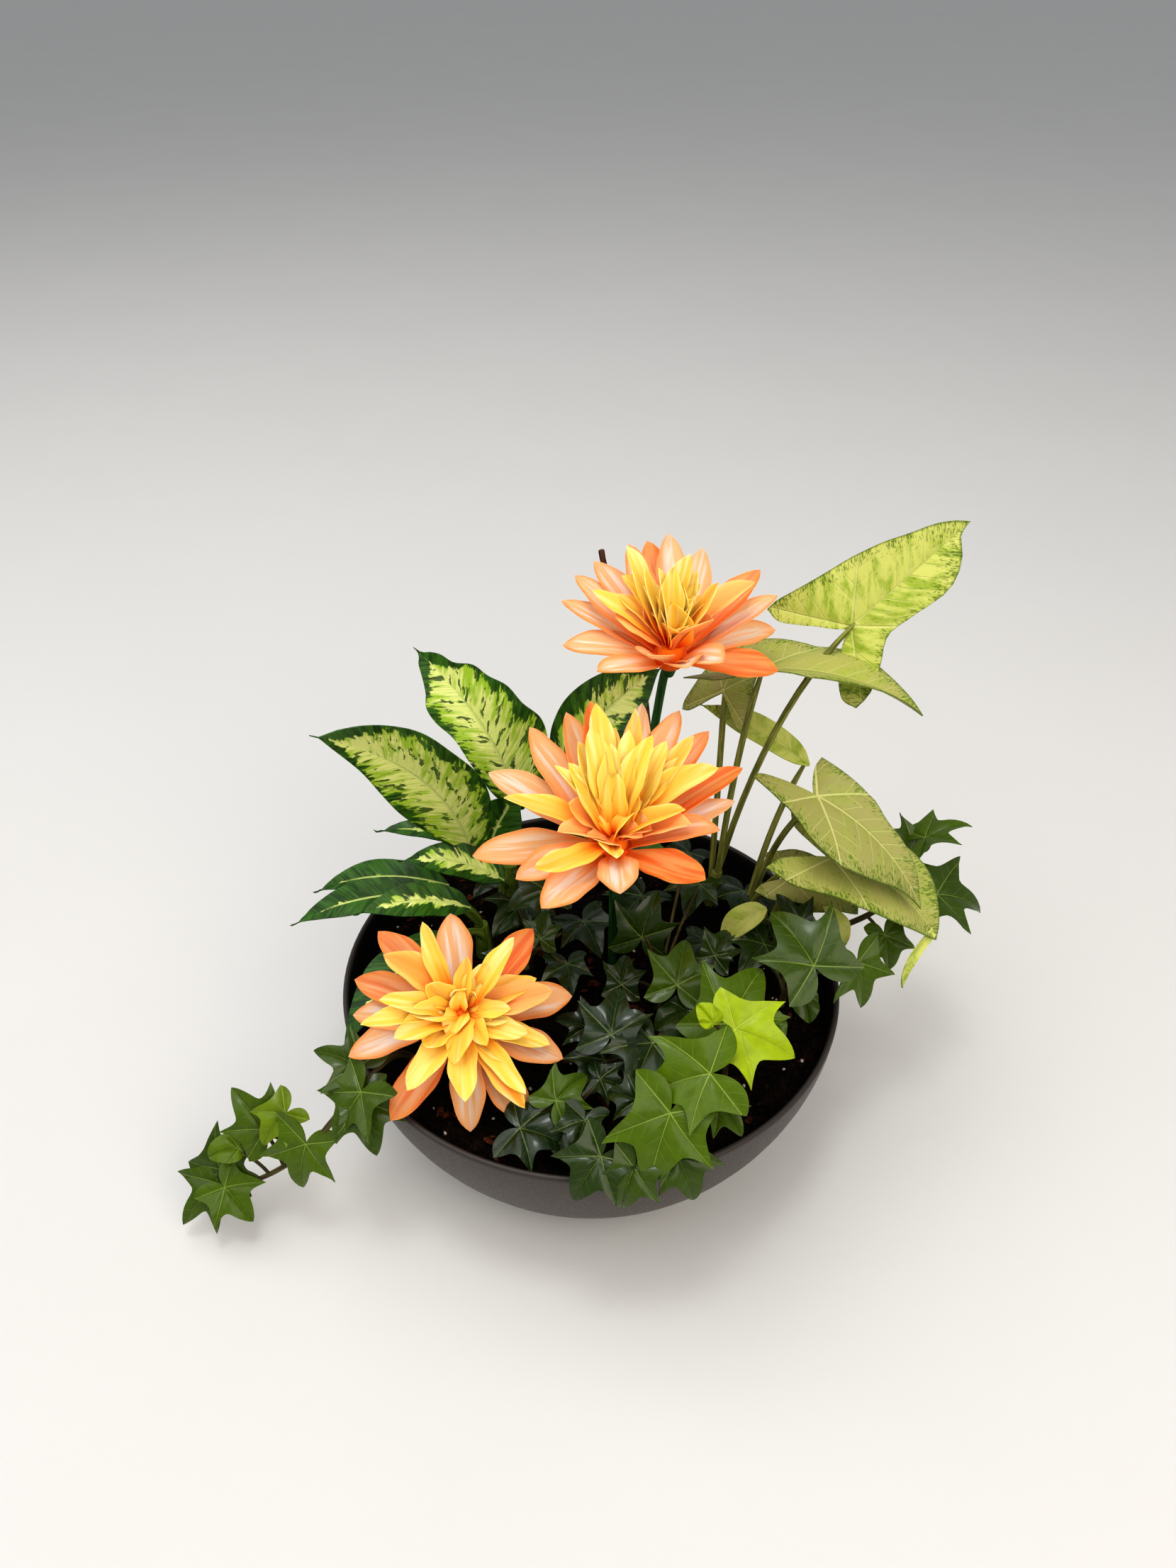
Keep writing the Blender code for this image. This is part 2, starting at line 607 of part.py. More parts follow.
def inOrder(mesh):
    """The mesh as a bmesh whose points and faces are in a fixed order, which a union doesn't keep."""
    places = [tuple(round(value, 8) for value in vertex.co) for vertex in mesh.vertices]
    order = sorted(range(len(places)), key=places.__getitem__)
    rank = {old: new for new, old in enumerate(order)}
    loops = []
    for polygon in mesh.polygons:
        loop = [rank[i] for i in polygon.vertices]
        start = loop.index(min(loop))
        loops.append(loop[start:] + loop[:start])
    bm = bmesh.new()
    points = [bm.verts.new(mesh.vertices[i].co) for i in order]
    for loop in sorted(loops):
        bm.faces.new([points[i] for i in loop])
    bm.normal_update()
    return bm


def isClosed(bm):
    """Whether every edge joins two faces when the points are rounded to a thousandth of a millimetre."""
    uses = {}
    for face in bm.faces:
        corners = [tuple(round(value / metre, 3) for value in vertex.co) for vertex in face.verts]
        for i, corner in enumerate(corners):
            edge = frozenset((corner, corners[i - 1]))
            if len(edge) == 2:
                uses[edge] = uses.get(edge, 0) + 1
    return all(count == 2 for count in uses.values())


def finish(name, mesh, collection, look):
    """Cleans a joined mesh, with the first merge distance that leaves it closed, and links it as the node."""
    flat = math.radians(flatAngle)
    for distance in mergeDistances:
        bm = inOrder(mesh)
        bmesh.ops.triangulate(bm, faces=bm.faces[:])
        bmesh.ops.remove_doubles(bm, verts=bm.verts[:], dist=distance * metre)
        bmesh.ops.dissolve_degenerate(bm, edges=bm.edges[:], dist=distance * metre)
        bmesh.ops.dissolve_limit(bm, angle_limit=flat, verts=bm.verts[:], edges=bm.edges[:])
        bmesh.ops.triangulate(bm, faces=bm.faces[:])
        dropHollows(bm)
        if isClosed(bm) or distance == mergeDistances[-1]:
            break
        bm.free()
    bm.to_mesh(mesh)
    bm.free()
    mesh.name = name
    mesh.materials.clear()
    mesh.materials.append(material(look))
    obj = bpy.data.objects.new(name, mesh)
    collection.objects.link(obj)
    return obj


def wallRadius(height):
    """The outside radius of the bowl at a height."""
    share = max(0.0, 1.0 - height / rimHeight)
    return footRadius + (rimRadius - footRadius) * (1.0 - share**wallPower) ** (1.0 / wallPower)


def insideRadius(height):
    """The inside radius of the bowl at a height. The wall is thicker near the foot."""
    return wallRadius(height) - wallThickness - (cornerFill if height < cornerHeight else 0.0)


def revolve(name, profile, collection, look):
    """Turns a profile of (radius, height) pairs about the Z axis with a Screw modifier."""
    mesh = bpy.data.meshes.new(name)
    points = [(radius * metre, 0.0, height * metre) for radius, height in profile]
    mesh.from_pydata(points, [(i, i + 1) for i in range(len(points) - 1)], [])
    obj = bpy.data.objects.new(name, mesh)
    bpy.context.scene.collection.objects.link(obj)
    screw = obj.modifiers.new("turn", "SCREW")
    screw.axis = "Z"
    screw.steps = bowlSegments
    screw.render_steps = bowlSegments
    screw.use_merge_vertices = True
    screw.merge_threshold = 0.00001
    bpy.context.view_layer.update()
    graph = bpy.context.evaluated_depsgraph_get()
    made = bpy.data.meshes.new_from_object(obj.evaluated_get(graph))
    bpy.data.objects.remove(obj, do_unlink=True)
    bm = bmesh.new()
    bm.from_mesh(made)
    bmesh.ops.remove_doubles(bm, verts=bm.verts[:], dist=1e-6)
    bmesh.ops.recalc_face_normals(bm, faces=bm.faces[:])
    bm.to_mesh(made)
    bm.free()
    return finish(name, made, collection, look)


def makeBowl(collection):
    """A thin bowl with a flat foot, a rounded side and a small rounded lip."""
    outer = [(0.0, 0.0), (footRadius - 2.0, 0.0)]
    for height in (1.2, 8.0, 20.0, 40.0, 66.0):
        outer.append((wallRadius(height), height))
    lip = [(rimRadius, rimHeight - 1.0), (rimRadius - 0.6, rimHeight)]
    lip.append((rimRadius - wallThickness + 0.4, rimHeight))
    inner = [(insideRadius(height), height) for height in (66.0, 40.0, 20.0, 7.5)]
    inner += [(footRadius - 6.0, floorHeight), (0.0, floorHeight)]
    return revolve("bowl", outer + lip + inner, collection, "bowl")


def soilHeight(x, y):
    """The lumpy top of the soil."""
    wave = math.sin(x * 0.11 + 1.3) * math.cos(y * 0.13 - 0.4) + 0.6 * math.sin(x * 0.23 - y * 0.19)
    return soilLevel + soilRelief * wave


def makeSoil(collection, holes):
    """The soil as one body under a lumpy top, with a plain hole for each stem."""
    profile = [(0.0, floorHeight + soilGap), (footRadius - 7.0, floorHeight + soilGap)]
    for height in (7.9, 20.4, 40.4, 66.4):
        profile.append((insideRadius(height) - soilSideGap, height))
    edge = insideRadius(soilLevel) - soilSideGap - 1.2
    profile.append((edge, soilLevel - 1.5))
    for radius in (98.0, 68.0, 36.0, 0.0):
        profile.append((radius, soilLevel))
    soil = revolve("soilBody", profile, collection, "soil")
    for vertex in soil.data.vertices:
        x, y, z = vertex.co / metre
        if z > soilLevel - 1.0 and math.hypot(x, y) < edge - 1.0:
            vertex.co.z = soilHeight(x, y) * metre
    cutters = bpy.data.collections.new("soilHoles")
    bpy.context.scene.collection.children.link(cutters)
    depth = 60.0
    for number, (x, y, stemRadius) in enumerate(holes):
        radius = (stemRadius + holeGap) / math.cos(math.pi / holeSides)
        middle = soilLevel - stemSunk - holeGap + depth / 2
        bm = bmesh.new()
        bmesh.ops.create_cone(
            bm, cap_ends=True, segments=holeSides, radius1=radius, radius2=radius, depth=depth
        )
        bmesh.ops.translate(bm, vec=(x, y, middle), verts=bm.verts[:])
        cutter = makeObject(f"hole{number}", bm, cutters)
        cutter.hide_render = True
        cutter.display_type = "WIRE"
    cut = soil.modifiers.new("holes", "BOOLEAN")
    cut.operation = "DIFFERENCE"
    cut.operand_type = "COLLECTION"
    cut.collection = cutters
    cut.solver = "EXACT"
    bpy.context.view_layer.update()
    graph = bpy.context.evaluated_depsgraph_get()
    mesh = bpy.data.meshes.new_from_object(soil.evaluated_get(graph))
    bpy.data.objects.remove(soil, do_unlink=True)
    for obj in list(cutters.objects):
        bpy.data.objects.remove(obj, do_unlink=True)
    bpy.data.collections.remove(cutters)
    return finish("soil", mesh, collection, "soil")


def leafBlade(kind, spine, width, fold, wave):
    """The thickened blade of one leaf and the radius of its stalk. For ivy, width names the outline."""
    if kind == "tail":
        return thicken(stripBlade(spine, tailShape, width, fold, wave, 1.0), leafThickness), None
    if kind == "lance":
        return thicken(stripBlade(spine, lanceShape, width, fold, wave, 2.2), leafThickness), lanceStalk
    if kind == "ivy":
        return thicken(fanBlade(spine, ivyShapes[width], 1.0, fold, wave, 1.0, 1), ivyThickness), ivyStalk
    return thicken(fanBlade(spine, arrowShapes[kind], width, fold, wave, 1.6, 2), leafThickness), arrowStalk


def makePlant(name, plant, collection):
    """One leafy stem: the stem, its leaf stalks and its blades as one body."""
    pieces = makeCollection(name + "Pieces")
    addTube(name + "Stem", plant["stem"], plant["radii"], pieces, 0 if name.startswith("ivy") else 1)
    spine = None
    for number, (kind, start, joint, tip, face, width, bend, fold, wave) in enumerate(plant["leaves"]):
        if kind == "tail":
            # A curled tail grows on from the tip of the leaf before it.
            joint = spine.point(0.92, 0.0, fold, wave, 1.0, width)
        spine = Spine(joint, tip, face, bend)
        blade, stalk = leafBlade(kind, spine, width, fold, wave)
        makeObject(f"{name}Leaf{number}", blade, pieces)
        if stalk:
            path = stalkPath(start, spine)
            radii = [stalk] * (len(path) - 1) + [stalk * 0.75]
            addTube(f"{name}Stalk{number}", path, radii, pieces, 0)
    look = "ivy" if name.startswith("ivy") else "syngonium" if name.startswith("syng") else "dieffenbachia"
    return uniteAll(name, pieces, collection, look)


def bloomAxes(lean):
    """The right, back and up directions of a bloom that leans towards the front."""
    turn = math.radians(lean)
    up = Vector((0.0, -math.sin(turn), math.cos(turn)))
    right = Vector((1.0, 0.0, 0.0))
    return right, up.cross(right), up


def petalSpine(bloom, turn, rise, length, height, start, bend):
    """The midrib of a petal that leaves the bloom's axis at a turn and a rise."""
    right, back, up = bloomAxes(bloom["lean"])
    flat = right * math.cos(math.radians(turn)) + back * math.sin(math.radians(turn))
    along = flat * math.cos(math.radians(rise)) + up * math.sin(math.radians(rise))
    face = up * math.cos(math.radians(rise)) - flat * math.sin(math.radians(rise))
    root = Vector(bloom["centre"]) + up * height + flat * start
    return Spine(root, root + along * (length - start), face, bend, face)


def addCore(bloom, core, name, pieces):
    """A short tapered core along the bloom's axis."""
    low, high, lowRadius, highRadius = core
    right, back, up = bloomAxes(bloom["lean"])
    bm = bmesh.new()
    bmesh.ops.create_cone(
        bm, cap_ends=True, segments=coreSides, radius1=lowRadius, radius2=highRadius, depth=high - low
    )
    for vertex in bm.verts:
        x, y, z = vertex.co
        vertex.co = Vector(bloom["centre"]) + right * x + back * y + up * (z + (high + low) / 2)
    return makeObject(name, bm, pieces)


def makeBloomStem(name, bloom, collection):
    """The wire of a bloom, with the cup under its petals."""
    up = bloomAxes(bloom["lean"])[2]
    pieces = makeCollection(name + "StemPieces")
    path = bloom["stem"] + [Vector(bloom["centre"]) + up * (cupCore[0] + 4.0)]
    addTube(name + "Wire", path, [wireRadius] * len(path), pieces)
    addCore(bloom, cupCore, name + "Cup", pieces)
    uniteAll(name + "Stem", pieces, collection, "stem")


def makeOuterPetals(name, bloom, collection):
    """The large petals of a bloom, each set by hand. Every second one starts lower and is flatter."""
    pieces = makeCollection(name + "OuterPieces")
    addCore(bloom, outerCore, name + "OuterCore", pieces)
    for number, (turn, rise, length) in enumerate(bloom["outer"]):
        lower = number % 2
        spine = petalSpine(bloom, turn, rise, length, -1.2 - 0.9 * lower, 4.6, 2.5 - 1.2 * lower)
        blade = stripBlade(spine, petalShape, bloom["petalWidth"], 14 + 4 * lower, 0.0, 1.0)
        makeObject(f"{name}Petal{number}", thicken(blade, petalThickness), pieces)
    uniteAll(name + "OuterPetals", pieces, collection, "outerPetals")


def makeInnerPetals(name, bloom, collection):
    """The whorls of small petals in the middle of a bloom, with seeded differences."""
    rng = random.Random(len(name) * 7 + 3)
    pieces = makeCollection(name + "InnerPieces")
    addCore(bloom, innerCore, name + "InnerCore", pieces)
    for whorl, (count, extra, length, width) in enumerate(bloom["inner"]):
        for number in range(count):
            turn = 360.0 * (number + 0.5 * whorl) / count + rng.uniform(-6, 6)
            lean = bloom["backRise"] * math.sin(math.radians(turn))
            rise = min(bloom["rise"] + lean + extra + rng.uniform(-2.5, 2.5), 84.0)
            reach = length * rng.uniform(0.92, 1.06)
            spine = petalSpine(bloom, turn, rise, reach, 4.4 + 0.8 * whorl, 3.4 - 1.0 * whorl, 2.0)
            shape = petalShape if whorl == 0 else smallPetalShape
            blade = stripBlade(spine, shape, width, 20, 0.0, 1.0)
            makeObject(f"{name}Inner{whorl}_{number}", thicken(blade, petalThickness), pieces)
    uniteAll(name + "InnerPetals", pieces, collection, "innerPetals")


def main():
    clearScene()
    garden = makeCollection(collectionName)
    makeBowl(garden)
    holes = []
    for plant in plants.values():
        x, y, _ = plant["stem"][0]
        holes.append((x, y, plant["radii"][0]))
    for bloom in blooms.values():
        x, y, _ = bloom["stem"][0]
        holes.append((x, y, wireRadius))
    x, y, _ = driedShoot["path"][0]
    holes.append((x, y, max(driedShoot["radii"][:2])))
    makeSoil(garden, holes)
    for name, bloom in blooms.items():
        makeBloomStem(name, bloom, garden)
        makeOuterPetals(name, bloom, garden)
        makeInnerPetals(name, bloom, garden)
    for name, plant in plants.items():
        makePlant(name, plant, garden)
    pieces = makeCollection("driedPieces")
    addTube("driedShootPath", driedShoot["path"], driedShoot["radii"], pieces)
    uniteAll("driedShoot", pieces, garden, "dried")


main()
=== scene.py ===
import math
import random

import bmesh
import bpy
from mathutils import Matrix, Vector, noise


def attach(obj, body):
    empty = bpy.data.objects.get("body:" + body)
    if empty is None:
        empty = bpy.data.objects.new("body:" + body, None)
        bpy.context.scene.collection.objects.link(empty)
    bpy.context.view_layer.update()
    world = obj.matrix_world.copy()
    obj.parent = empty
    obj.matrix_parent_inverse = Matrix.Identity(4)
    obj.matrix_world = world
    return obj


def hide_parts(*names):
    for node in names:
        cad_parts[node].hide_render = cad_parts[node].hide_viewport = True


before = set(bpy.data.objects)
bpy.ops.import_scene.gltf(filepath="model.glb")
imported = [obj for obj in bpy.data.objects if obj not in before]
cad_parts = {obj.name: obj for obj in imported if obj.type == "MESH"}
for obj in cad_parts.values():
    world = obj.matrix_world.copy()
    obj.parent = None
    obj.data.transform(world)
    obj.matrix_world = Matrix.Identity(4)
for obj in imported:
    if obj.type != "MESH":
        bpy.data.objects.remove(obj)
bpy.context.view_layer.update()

mm = 0.001
print("frame loaded:", len(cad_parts), "nodes")


# Colours: what the eye sees, 0 to 255, turned into the light values that Blender works with

def shade(red, green, blue):
    values = []
    for value in (red, green, blue):
        share = value / 255
        values.append(share / 12.92 if share <= 0.04045 else ((share + 0.055) / 1.055) ** 2.4)
    return (*values, 1.0)


# Small helpers for node trees

class Signal:
    # an output of a node, so that sums of outputs are written as sums
    def __init__(self, node, pick=0):
        self.tree = node.id_data
        self.socket = node.outputs[pick]

    def __add__(self, other):
        return calc("ADD", self, other)

    def __sub__(self, other):
        return calc("SUBTRACT", self, other)

    def __rsub__(self, other):
        return calc("SUBTRACT", other, self)

    def __mul__(self, other):
        return calc("MULTIPLY", self, other)

    def __truediv__(self, other):
        return calc("DIVIDE", self, other)

    def __abs__(self):
        return calc("ABSOLUTE", self)


def wire(socket, value):
    if isinstance(value, Signal):
        value.tree.links.new(value.socket, socket)
    else:
        socket.default_value = value


def addNode(kind, inputs, tree=None, **settings):
    # the tree is given only where no input is a signal
    tree = tree or next(value.tree for value in inputs.values() if isinstance(value, Signal))
    node = tree.nodes.new(kind)
    for name, value in settings.items():
        setattr(node, name, value)
    for name, value in inputs.items():
        wire(node.inputs[name], value)
    return node


def calc(operation, first, second=0.0):
    return Signal(addNode("ShaderNodeMath", {0: first, 1: second}, operation=operation))


def remap(value, low, high, newLow=0.0, newHigh=1.0):
    inputs = {"Value": value, "From Min": low, "From Max": high, "To Min": newLow, "To Max": newHigh}
    return Signal(addNode("ShaderNodeMapRange", inputs, interpolation_type="SMOOTHSTEP"))


def mixColour(factor, first, second, blend="MIX"):
    inputs = {0: factor, 6: first, 7: second}
    return Signal(addNode("ShaderNodeMix", inputs, data_type="RGBA", blend_type=blend), 2)


def dimmed(colour, value):
    return mixColour(1.0, colour, join(value, value, value), "MULTIPLY")


def grain(vector, scale, detail=2.0, roughness=0.5, distortion=0.0):
    names = ("Vector", "Scale", "Detail", "Roughness", "Distortion")
    values = (vector, scale, detail, roughness, distortion)
    return Signal(addNode("ShaderNodeTexNoise", dict(zip(names, values))))


def attribute(made, name):
    return Signal(addNode("ShaderNodeAttribute", {}, made.node_tree, attribute_name=name), "Vector")


def objectPlace(made):
    return Signal(addNode("ShaderNodeTexCoord", {}, made.node_tree), "Object")


def split(vector):
    node = addNode("ShaderNodeSeparateXYZ", {0: vector})
    return [Signal(node, axis) for axis in range(3)]


def join(x, y, z):
    return Signal(addNode("ShaderNodeCombineXYZ", {0: x, 1: y, 2: z}))


def shaderOf(made):
    return made.node_tree.nodes["Principled BSDF"]


def startMaterial(name, roughness, specular, **values):
    made = bpy.data.materials.new(name)
    made.use_nodes = True
    for key, value in {"Roughness": roughness, "Specular_IOR_Level": specular, **values}.items():
        shaderOf(made).inputs[key.replace("_", " ")].default_value = value
    return made


def finishMaterial(made, colour, height, distance, strength):
    bump = addNode("ShaderNodeBump", {"Height": height, "Distance": distance, "Strength": strength})
    wire(shaderOf(made).inputs["Base Color"], colour)
    wire(shaderOf(made).inputs["Normal"], Signal(bump))
    return made


# Effects that several materials share

def startGroup(name, vector, floats, outputs):
    # a group with one vector input, float inputs and float outputs
    group = bpy.data.node_groups.new(name, "ShaderNodeTree")
    group.interface.new_socket(name=vector, in_out="INPUT", socket_type="NodeSocketVector")
    for label in floats:
        group.interface.new_socket(name=label, in_out="INPUT", socket_type="NodeSocketFloat")
    for label in outputs:
        group.interface.new_socket(name=label, in_out="OUTPUT", socket_type="NodeSocketFloat")
    entry = group.nodes.new("NodeGroupInput")
    signals = [Signal(entry, label) for label in [vector] + floats]
    return group, signals, group.nodes.new("NodeGroupOutput").inputs


def makeVeinFan():
    # main veins that leave the joint at angles, with side veins, on leaf coordinates in leaf lengths
    floats = ["First", "Second", "Width", "Count"]
    group, signals, leave = startGroup("veinFan", "Shape", floats, ["Main", "Side"])
    shape, first, second, width, count = signals
    along, across, _ = split(shape)
    across = abs(across)
    # off is the distance from the nearest main vein, and run the way along it
    run = along
    off = across + calc("MAXIMUM", run * -1.0, 0.0)
    for angle in (first, second):
        sine = calc("SINE", angle)
        cosine = calc("COSINE", angle)
        nextRun = along * cosine + across * sine
        nextOff = abs(along * sine - across * cosine) + calc("MAXIMUM", nextRun * -1.0, 0.0)
        run = run + (nextRun - run) * calc("LESS_THAN", nextOff, off)
        off = calc("MINIMUM", nextOff, off)
    mainWidth = width * calc("MAXIMUM", 1.0 - run * 0.75, 0.2)
    wire(leave["Main"], remap(off / mainWidth, 0.5, 1.3, 1.0, 0.0))
    fromLine = abs(calc("FRACT", (run - off * 0.95) * count) - 0.5)
    side = remap(fromLine / (width * count * 0.5), 0.5, 1.5, 1.0, 0.0)
    wire(leave["Side"], side * remap(off, 0.03, 0.24, 1.0, 0.15) * remap(run, 0.08, 0.25))
    return group


def makeStreaks():
    # noise drawn out along the side veins of a leaf, on flat leaf coordinates in millimetres
    group, signals, leave = startGroup("streaks", "Flat", ["Slant", "Fine", "Long", "Shift"], ["Value"])
    flat, slant, fine, long, shift = signals
    along, across, seed = split(flat)
    out = abs(across)
    side = calc("SIGN", across) * 13.0
    vector = join((along - out * slant) * fine, out * long, seed + side + shift)
    wire(leave["Value"], grain(vector, 1.0, 3.0, 0.6, 0.4))
    return group


def makeMottle():
    # slow and fine differences in brightness, around 1
    group, signals, leave = startGroup("mottle", "Place", ["Scale", "Amount"], ["Value"])
    place, scale, amount = signals
    wire(leave["Value"], (grain(place, scale, 4.0, 0.6) - 0.5) * amount + 1.0)
    return group


groups = {"veinFan": makeVeinFan(), "streaks": makeStreaks(), "mottle": makeMottle()}
veinAngles = {"ivy": (0.95, 2.05), "arrow": (0.72, 2.15)}  # from the middle vein, in radians


def veinsOn(shape, angles, width, count, main, side):
    # how strongly the main and the side veins show
    inputs = {"Shape": shape, "First": angles[0], "Second": angles[1], "Width": width, "Count": count}
    fan = addNode("ShaderNodeGroup", inputs, node_tree=groups["veinFan"])
    return calc("MAXIMUM", Signal(fan, "Main") * main, Signal(fan, "Side") * side)


def streak(flat, slant, fine, long, shift):
    inputs = {"Flat": flat, "Slant": slant, "Fine": fine, "Long": long, "Shift": shift}
    return Signal(addNode("ShaderNodeGroup", inputs, node_tree=groups["streaks"]))


def mottled(place, scale, amount):
    inputs = {"Place": place, "Scale": scale, "Amount": amount}
    return Signal(addNode("ShaderNodeGroup", inputs, node_tree=groups["mottle"]))


# Materials

dieffenbachiaLook = {
    "green": shade(56, 100, 22),
    "deepGreen": shade(26, 58, 12),
    "cream": shade(220, 229, 138),
    "lime": shade(158, 192, 52),
    "rib": shade(196, 212, 124),
    "roughness": 0.36,
    "specular": 0.3,
    "slant": 0.8,
}


def makeDieffenbachiaMaterial():
    look = dieffenbachiaLook
    made = startMaterial("dieffenbachiaLeaf", look["roughness"], look["specular"])
    flat = attribute(made, "leafFlat")
    along, share, tone = split(attribute(made, "leafShape"))
    out = abs(share)
    broad = streak(flat, look["slant"], 0.11, 0.05, 0.0)
    fine = streak(flat, look["slant"], 0.27, 0.12, 31.0)
    marks = streak(flat, look["slant"], 0.26, 0.14, 52.0)
    soft = streak(flat, look["slant"], 0.3, 0.08, 67.0)
    lines = streak(flat, look["slant"], 0.55, 0.01, 9.0)
    # the pale middle runs out towards the edge, the tip and the base
    edge = out + (broad - 0.5) * -1.3 + (fine - 0.5) * -1.1
    edge = edge + (remap(along, 0.78, 1.0, 0.0, 0.9) + remap(along, 0.1, 0.0, 0.0, 0.7)) + (1.0 - tone)
    fleck = remap(marks + out * 0.08, 0.59, 0.64, 0.0, 0.9)
    pale = remap(edge, 0.9, 0.76) * (1.0 - fleck)
    light = mixColour(remap(soft + out * 0.3, 0.5, 0.78), look["cream"], look["lime"])
    dark = mixColour(remap(soft, 0.35, 0.65), look["deepGreen"], look["green"])
    rib = remap(abs(split(flat)[1]), 0.4, 1.1, 0.8, 0.0) * remap(along, 0.85, 0.6)
    colour = mixColour(rib, mixColour(pale, dark, light), look["rib"])
    return finishMaterial(made, colour, lines + rib * -0.8, 0.0009, 0.6)


syngoniumLook = {
    "cream": shade(206, 210, 112),
    "grass": shade(146, 170, 46),
    # a greyer green, partly the leaves' own colour and partly painted shade for curled and edge-on leaves
    "greyAndPaintedShade": shade(152, 148, 86),
    "fleck": shade(72, 100, 20),
    "rib": shade(218, 220, 142),
    "roughness": 0.5,
    "specular": 0.2,
    "slant": 0.7,
}


def makeSyngoniumMaterial():
    look = syngoniumLook
    made = startMaterial("syngoniumLeaf", look["roughness"], look["specular"])
    flat = attribute(made, "leafFlat")
    shape = attribute(made, "leafShape")
    tone = split(shape)[2]
    edge = split(attribute(made, "leafEdge"))[0]
    broad = streak(flat, look["slant"], 0.13, 0.06, 3.0)
    fine = streak(flat, look["slant"], 1.2, 0.55, 41.0)
    # low tones turn the leaf grey: partly leaf colour, partly painted shade on curled and edge-on leaves
    base = mixColour(remap(tone, 0.3, 0.9), look["greyAndPaintedShade"], look["cream"])
    green = remap(broad, 0.42, 0.66, 0.0, 0.85) * remap(tone, 0.3, 0.8, 0.3, 1.0)
    base = mixColour(green, base, look["grass"])
    # dark green flecks gather near the edge
    gather = fine + remap(edge, 0.6, 1.0) * 0.16 + (broad - 0.5) * 0.35
    colour = mixColour(remap(gather, 0.60, 0.76, 0.0, 0.8), base, look["fleck"])
    veins = veinsOn(shape, veinAngles["arrow"], 0.01, 9.0, 0.5, 0.32)
    colour = mixColour(veins, colour, look["rib"])
    colour = mixColour(remap(edge, 0.965, 1.0, 0.0, 0.7), colour, look["fleck"])
    return finishMaterial(made, colour, veins * -1.0 + broad * 0.6, 0.0008, 0.7)


ivyLook = {
    # dark: the colour of dark leaves, made darker still as painted shade deep among the stems
    "dark": shade(23, 40, 9),
    "green": shade(74, 97, 10),
    "lime": shade(148, 168, 16),
    "vein": shade(148, 170, 76),
    "limeVein": shade(188, 202, 84),
    "roughness": 0.3,
    "specular": 0.18,
}


def makeIvyMaterial():
    look = ivyLook
    made = startMaterial("ivyLeaf", look["roughness"], look["specular"], Coat_Roughness=0.16)
    shape = attribute(made, "leafShape")
    tone = split(shape)[2]
    wire(shaderOf(made).inputs["Coat Weight"], remap(tone, 0.1, 0.5, 0.4, 0.06))  # dark leaves are glossy
    patches = mottled(attribute(made, "leafFlat"), 0.16, 0.7)
    # low tones give dark leaves, their darkness partly real colour and partly painted shade among the stems
    base = mixColour(remap(tone, 0.08, 0.54), look["dark"], look["green"])
    base = dimmed(mixColour(remap(tone, 0.5, 1.0), base, look["lime"]), patches)
    veinColour = mixColour(remap(tone, 0.4, 1.0), look["vein"], look["limeVein"])
    veins = veinsOn(shape, veinAngles["ivy"], 0.011, 5.5, 0.62, 0.2) * remap(tone, 0.0, 0.6, 0.5, 1.0)
    colour = mixColour(veins, base, veinColour)
    return finishMaterial(made, colour, veins * -0.8 + patches * 0.5, 0.0007, 0.8)


stemLooks = {  # light and dark shade, roughness
    "dieffenbachiaStem": (shade(112, 134, 44), shade(62, 84, 24), 0.5),
    "syngoniumStem": (shade(140, 142, 68), shade(92, 96, 40), 0.5),
    "ivyStem": (shade(88, 82, 40), shade(54, 40, 24), 0.6),
    "bloomWire": (shade(40, 88, 34), shade(22, 56, 22), 0.55),
    "driedStem": (shade(94, 62, 48), shade(40, 25, 20), 0.9),
}


def makeStemMaterial(name):
    light, dark, roughness = stemLooks[name]
    made = startMaterial(name, roughness, 0.2)
    along, around, seed = split(attribute(made, "leafFlat"))
    lines = grain(join(along * 0.06, around * 0.6, seed), 1.0, 3.0, 0.6)
    return finishMaterial(made, mixColour(remap(lines, 0.35, 0.65), dark, light), lines, 0.0006, 0.6)


outerPetalLook = {
    "heart": shade(244, 84, 20),
    "orange": shade(255, 130, 52),
    "middle": shade(255, 172, 116),
    # pale: painted satin sheen, laid as streaks on the petals' middles
    "pale": shade(255, 228, 206),
    "softness": 0.6,
}
innerPetalLook = {
    "heart": shade(222, 46, 8),
    "orange": shade(255, 146, 34),
    "middle": shade(255, 210, 80),
    "pale": shade(255, 241, 150),
    "peach": shade(255, 176, 112),
    "softness": 0.4,
}


def startPetal(name, look):
    made = startMaterial(name, 0.6, 0.2, Subsurface_Weight=look["softness"], Subsurface_Scale=0.006,
                         Subsurface_Radius=(1.0, 0.88, 0.7))
    along, share, tone = split(attribute(made, "leafShape"))
    flatAlong, flatAcross, seed = split(attribute(made, "leafFlat"))
    lines = grain(join(flatAlong * 0.025, flatAcross * 0.36, seed), 1.0, 2.0, 0.5)
    fine = grain(join(flatAlong * 0.05, flatAcross * 1.6, seed), 1.0, 2.0, 0.5)
    place = along + (lines - 0.5) * 0.5
    return made, along, place, abs(share), tone, lines, lines + fine * 0.25


def makeInnerPetalMaterial():
    look = innerPetalLook
    made, along, place, out, tone, lines, height = startPetal("innerPetal", look)
    colour = mixColour(remap(place, 0.1, 0.34), look["heart"], look["orange"])
    colour = mixColour(remap(place, 0.26, 0.6), colour, look["middle"])
    colour = mixColour(remap(lines, 0.4, 0.66) * remap(along, 0.4, 0.9), colour, look["pale"])
    warm = remap(tone, 0.1, 0.5) * remap(out, 1.1, 0.2, 0.1, 0.85)
    colour = mixColour(warm, colour, look["orange"])
    colour = mixColour(remap(tone, 0.5, 0.8, 0.0, 0.75), colour, look["peach"])
    return finishMaterial(made, colour, height, 0.001, 0.4)


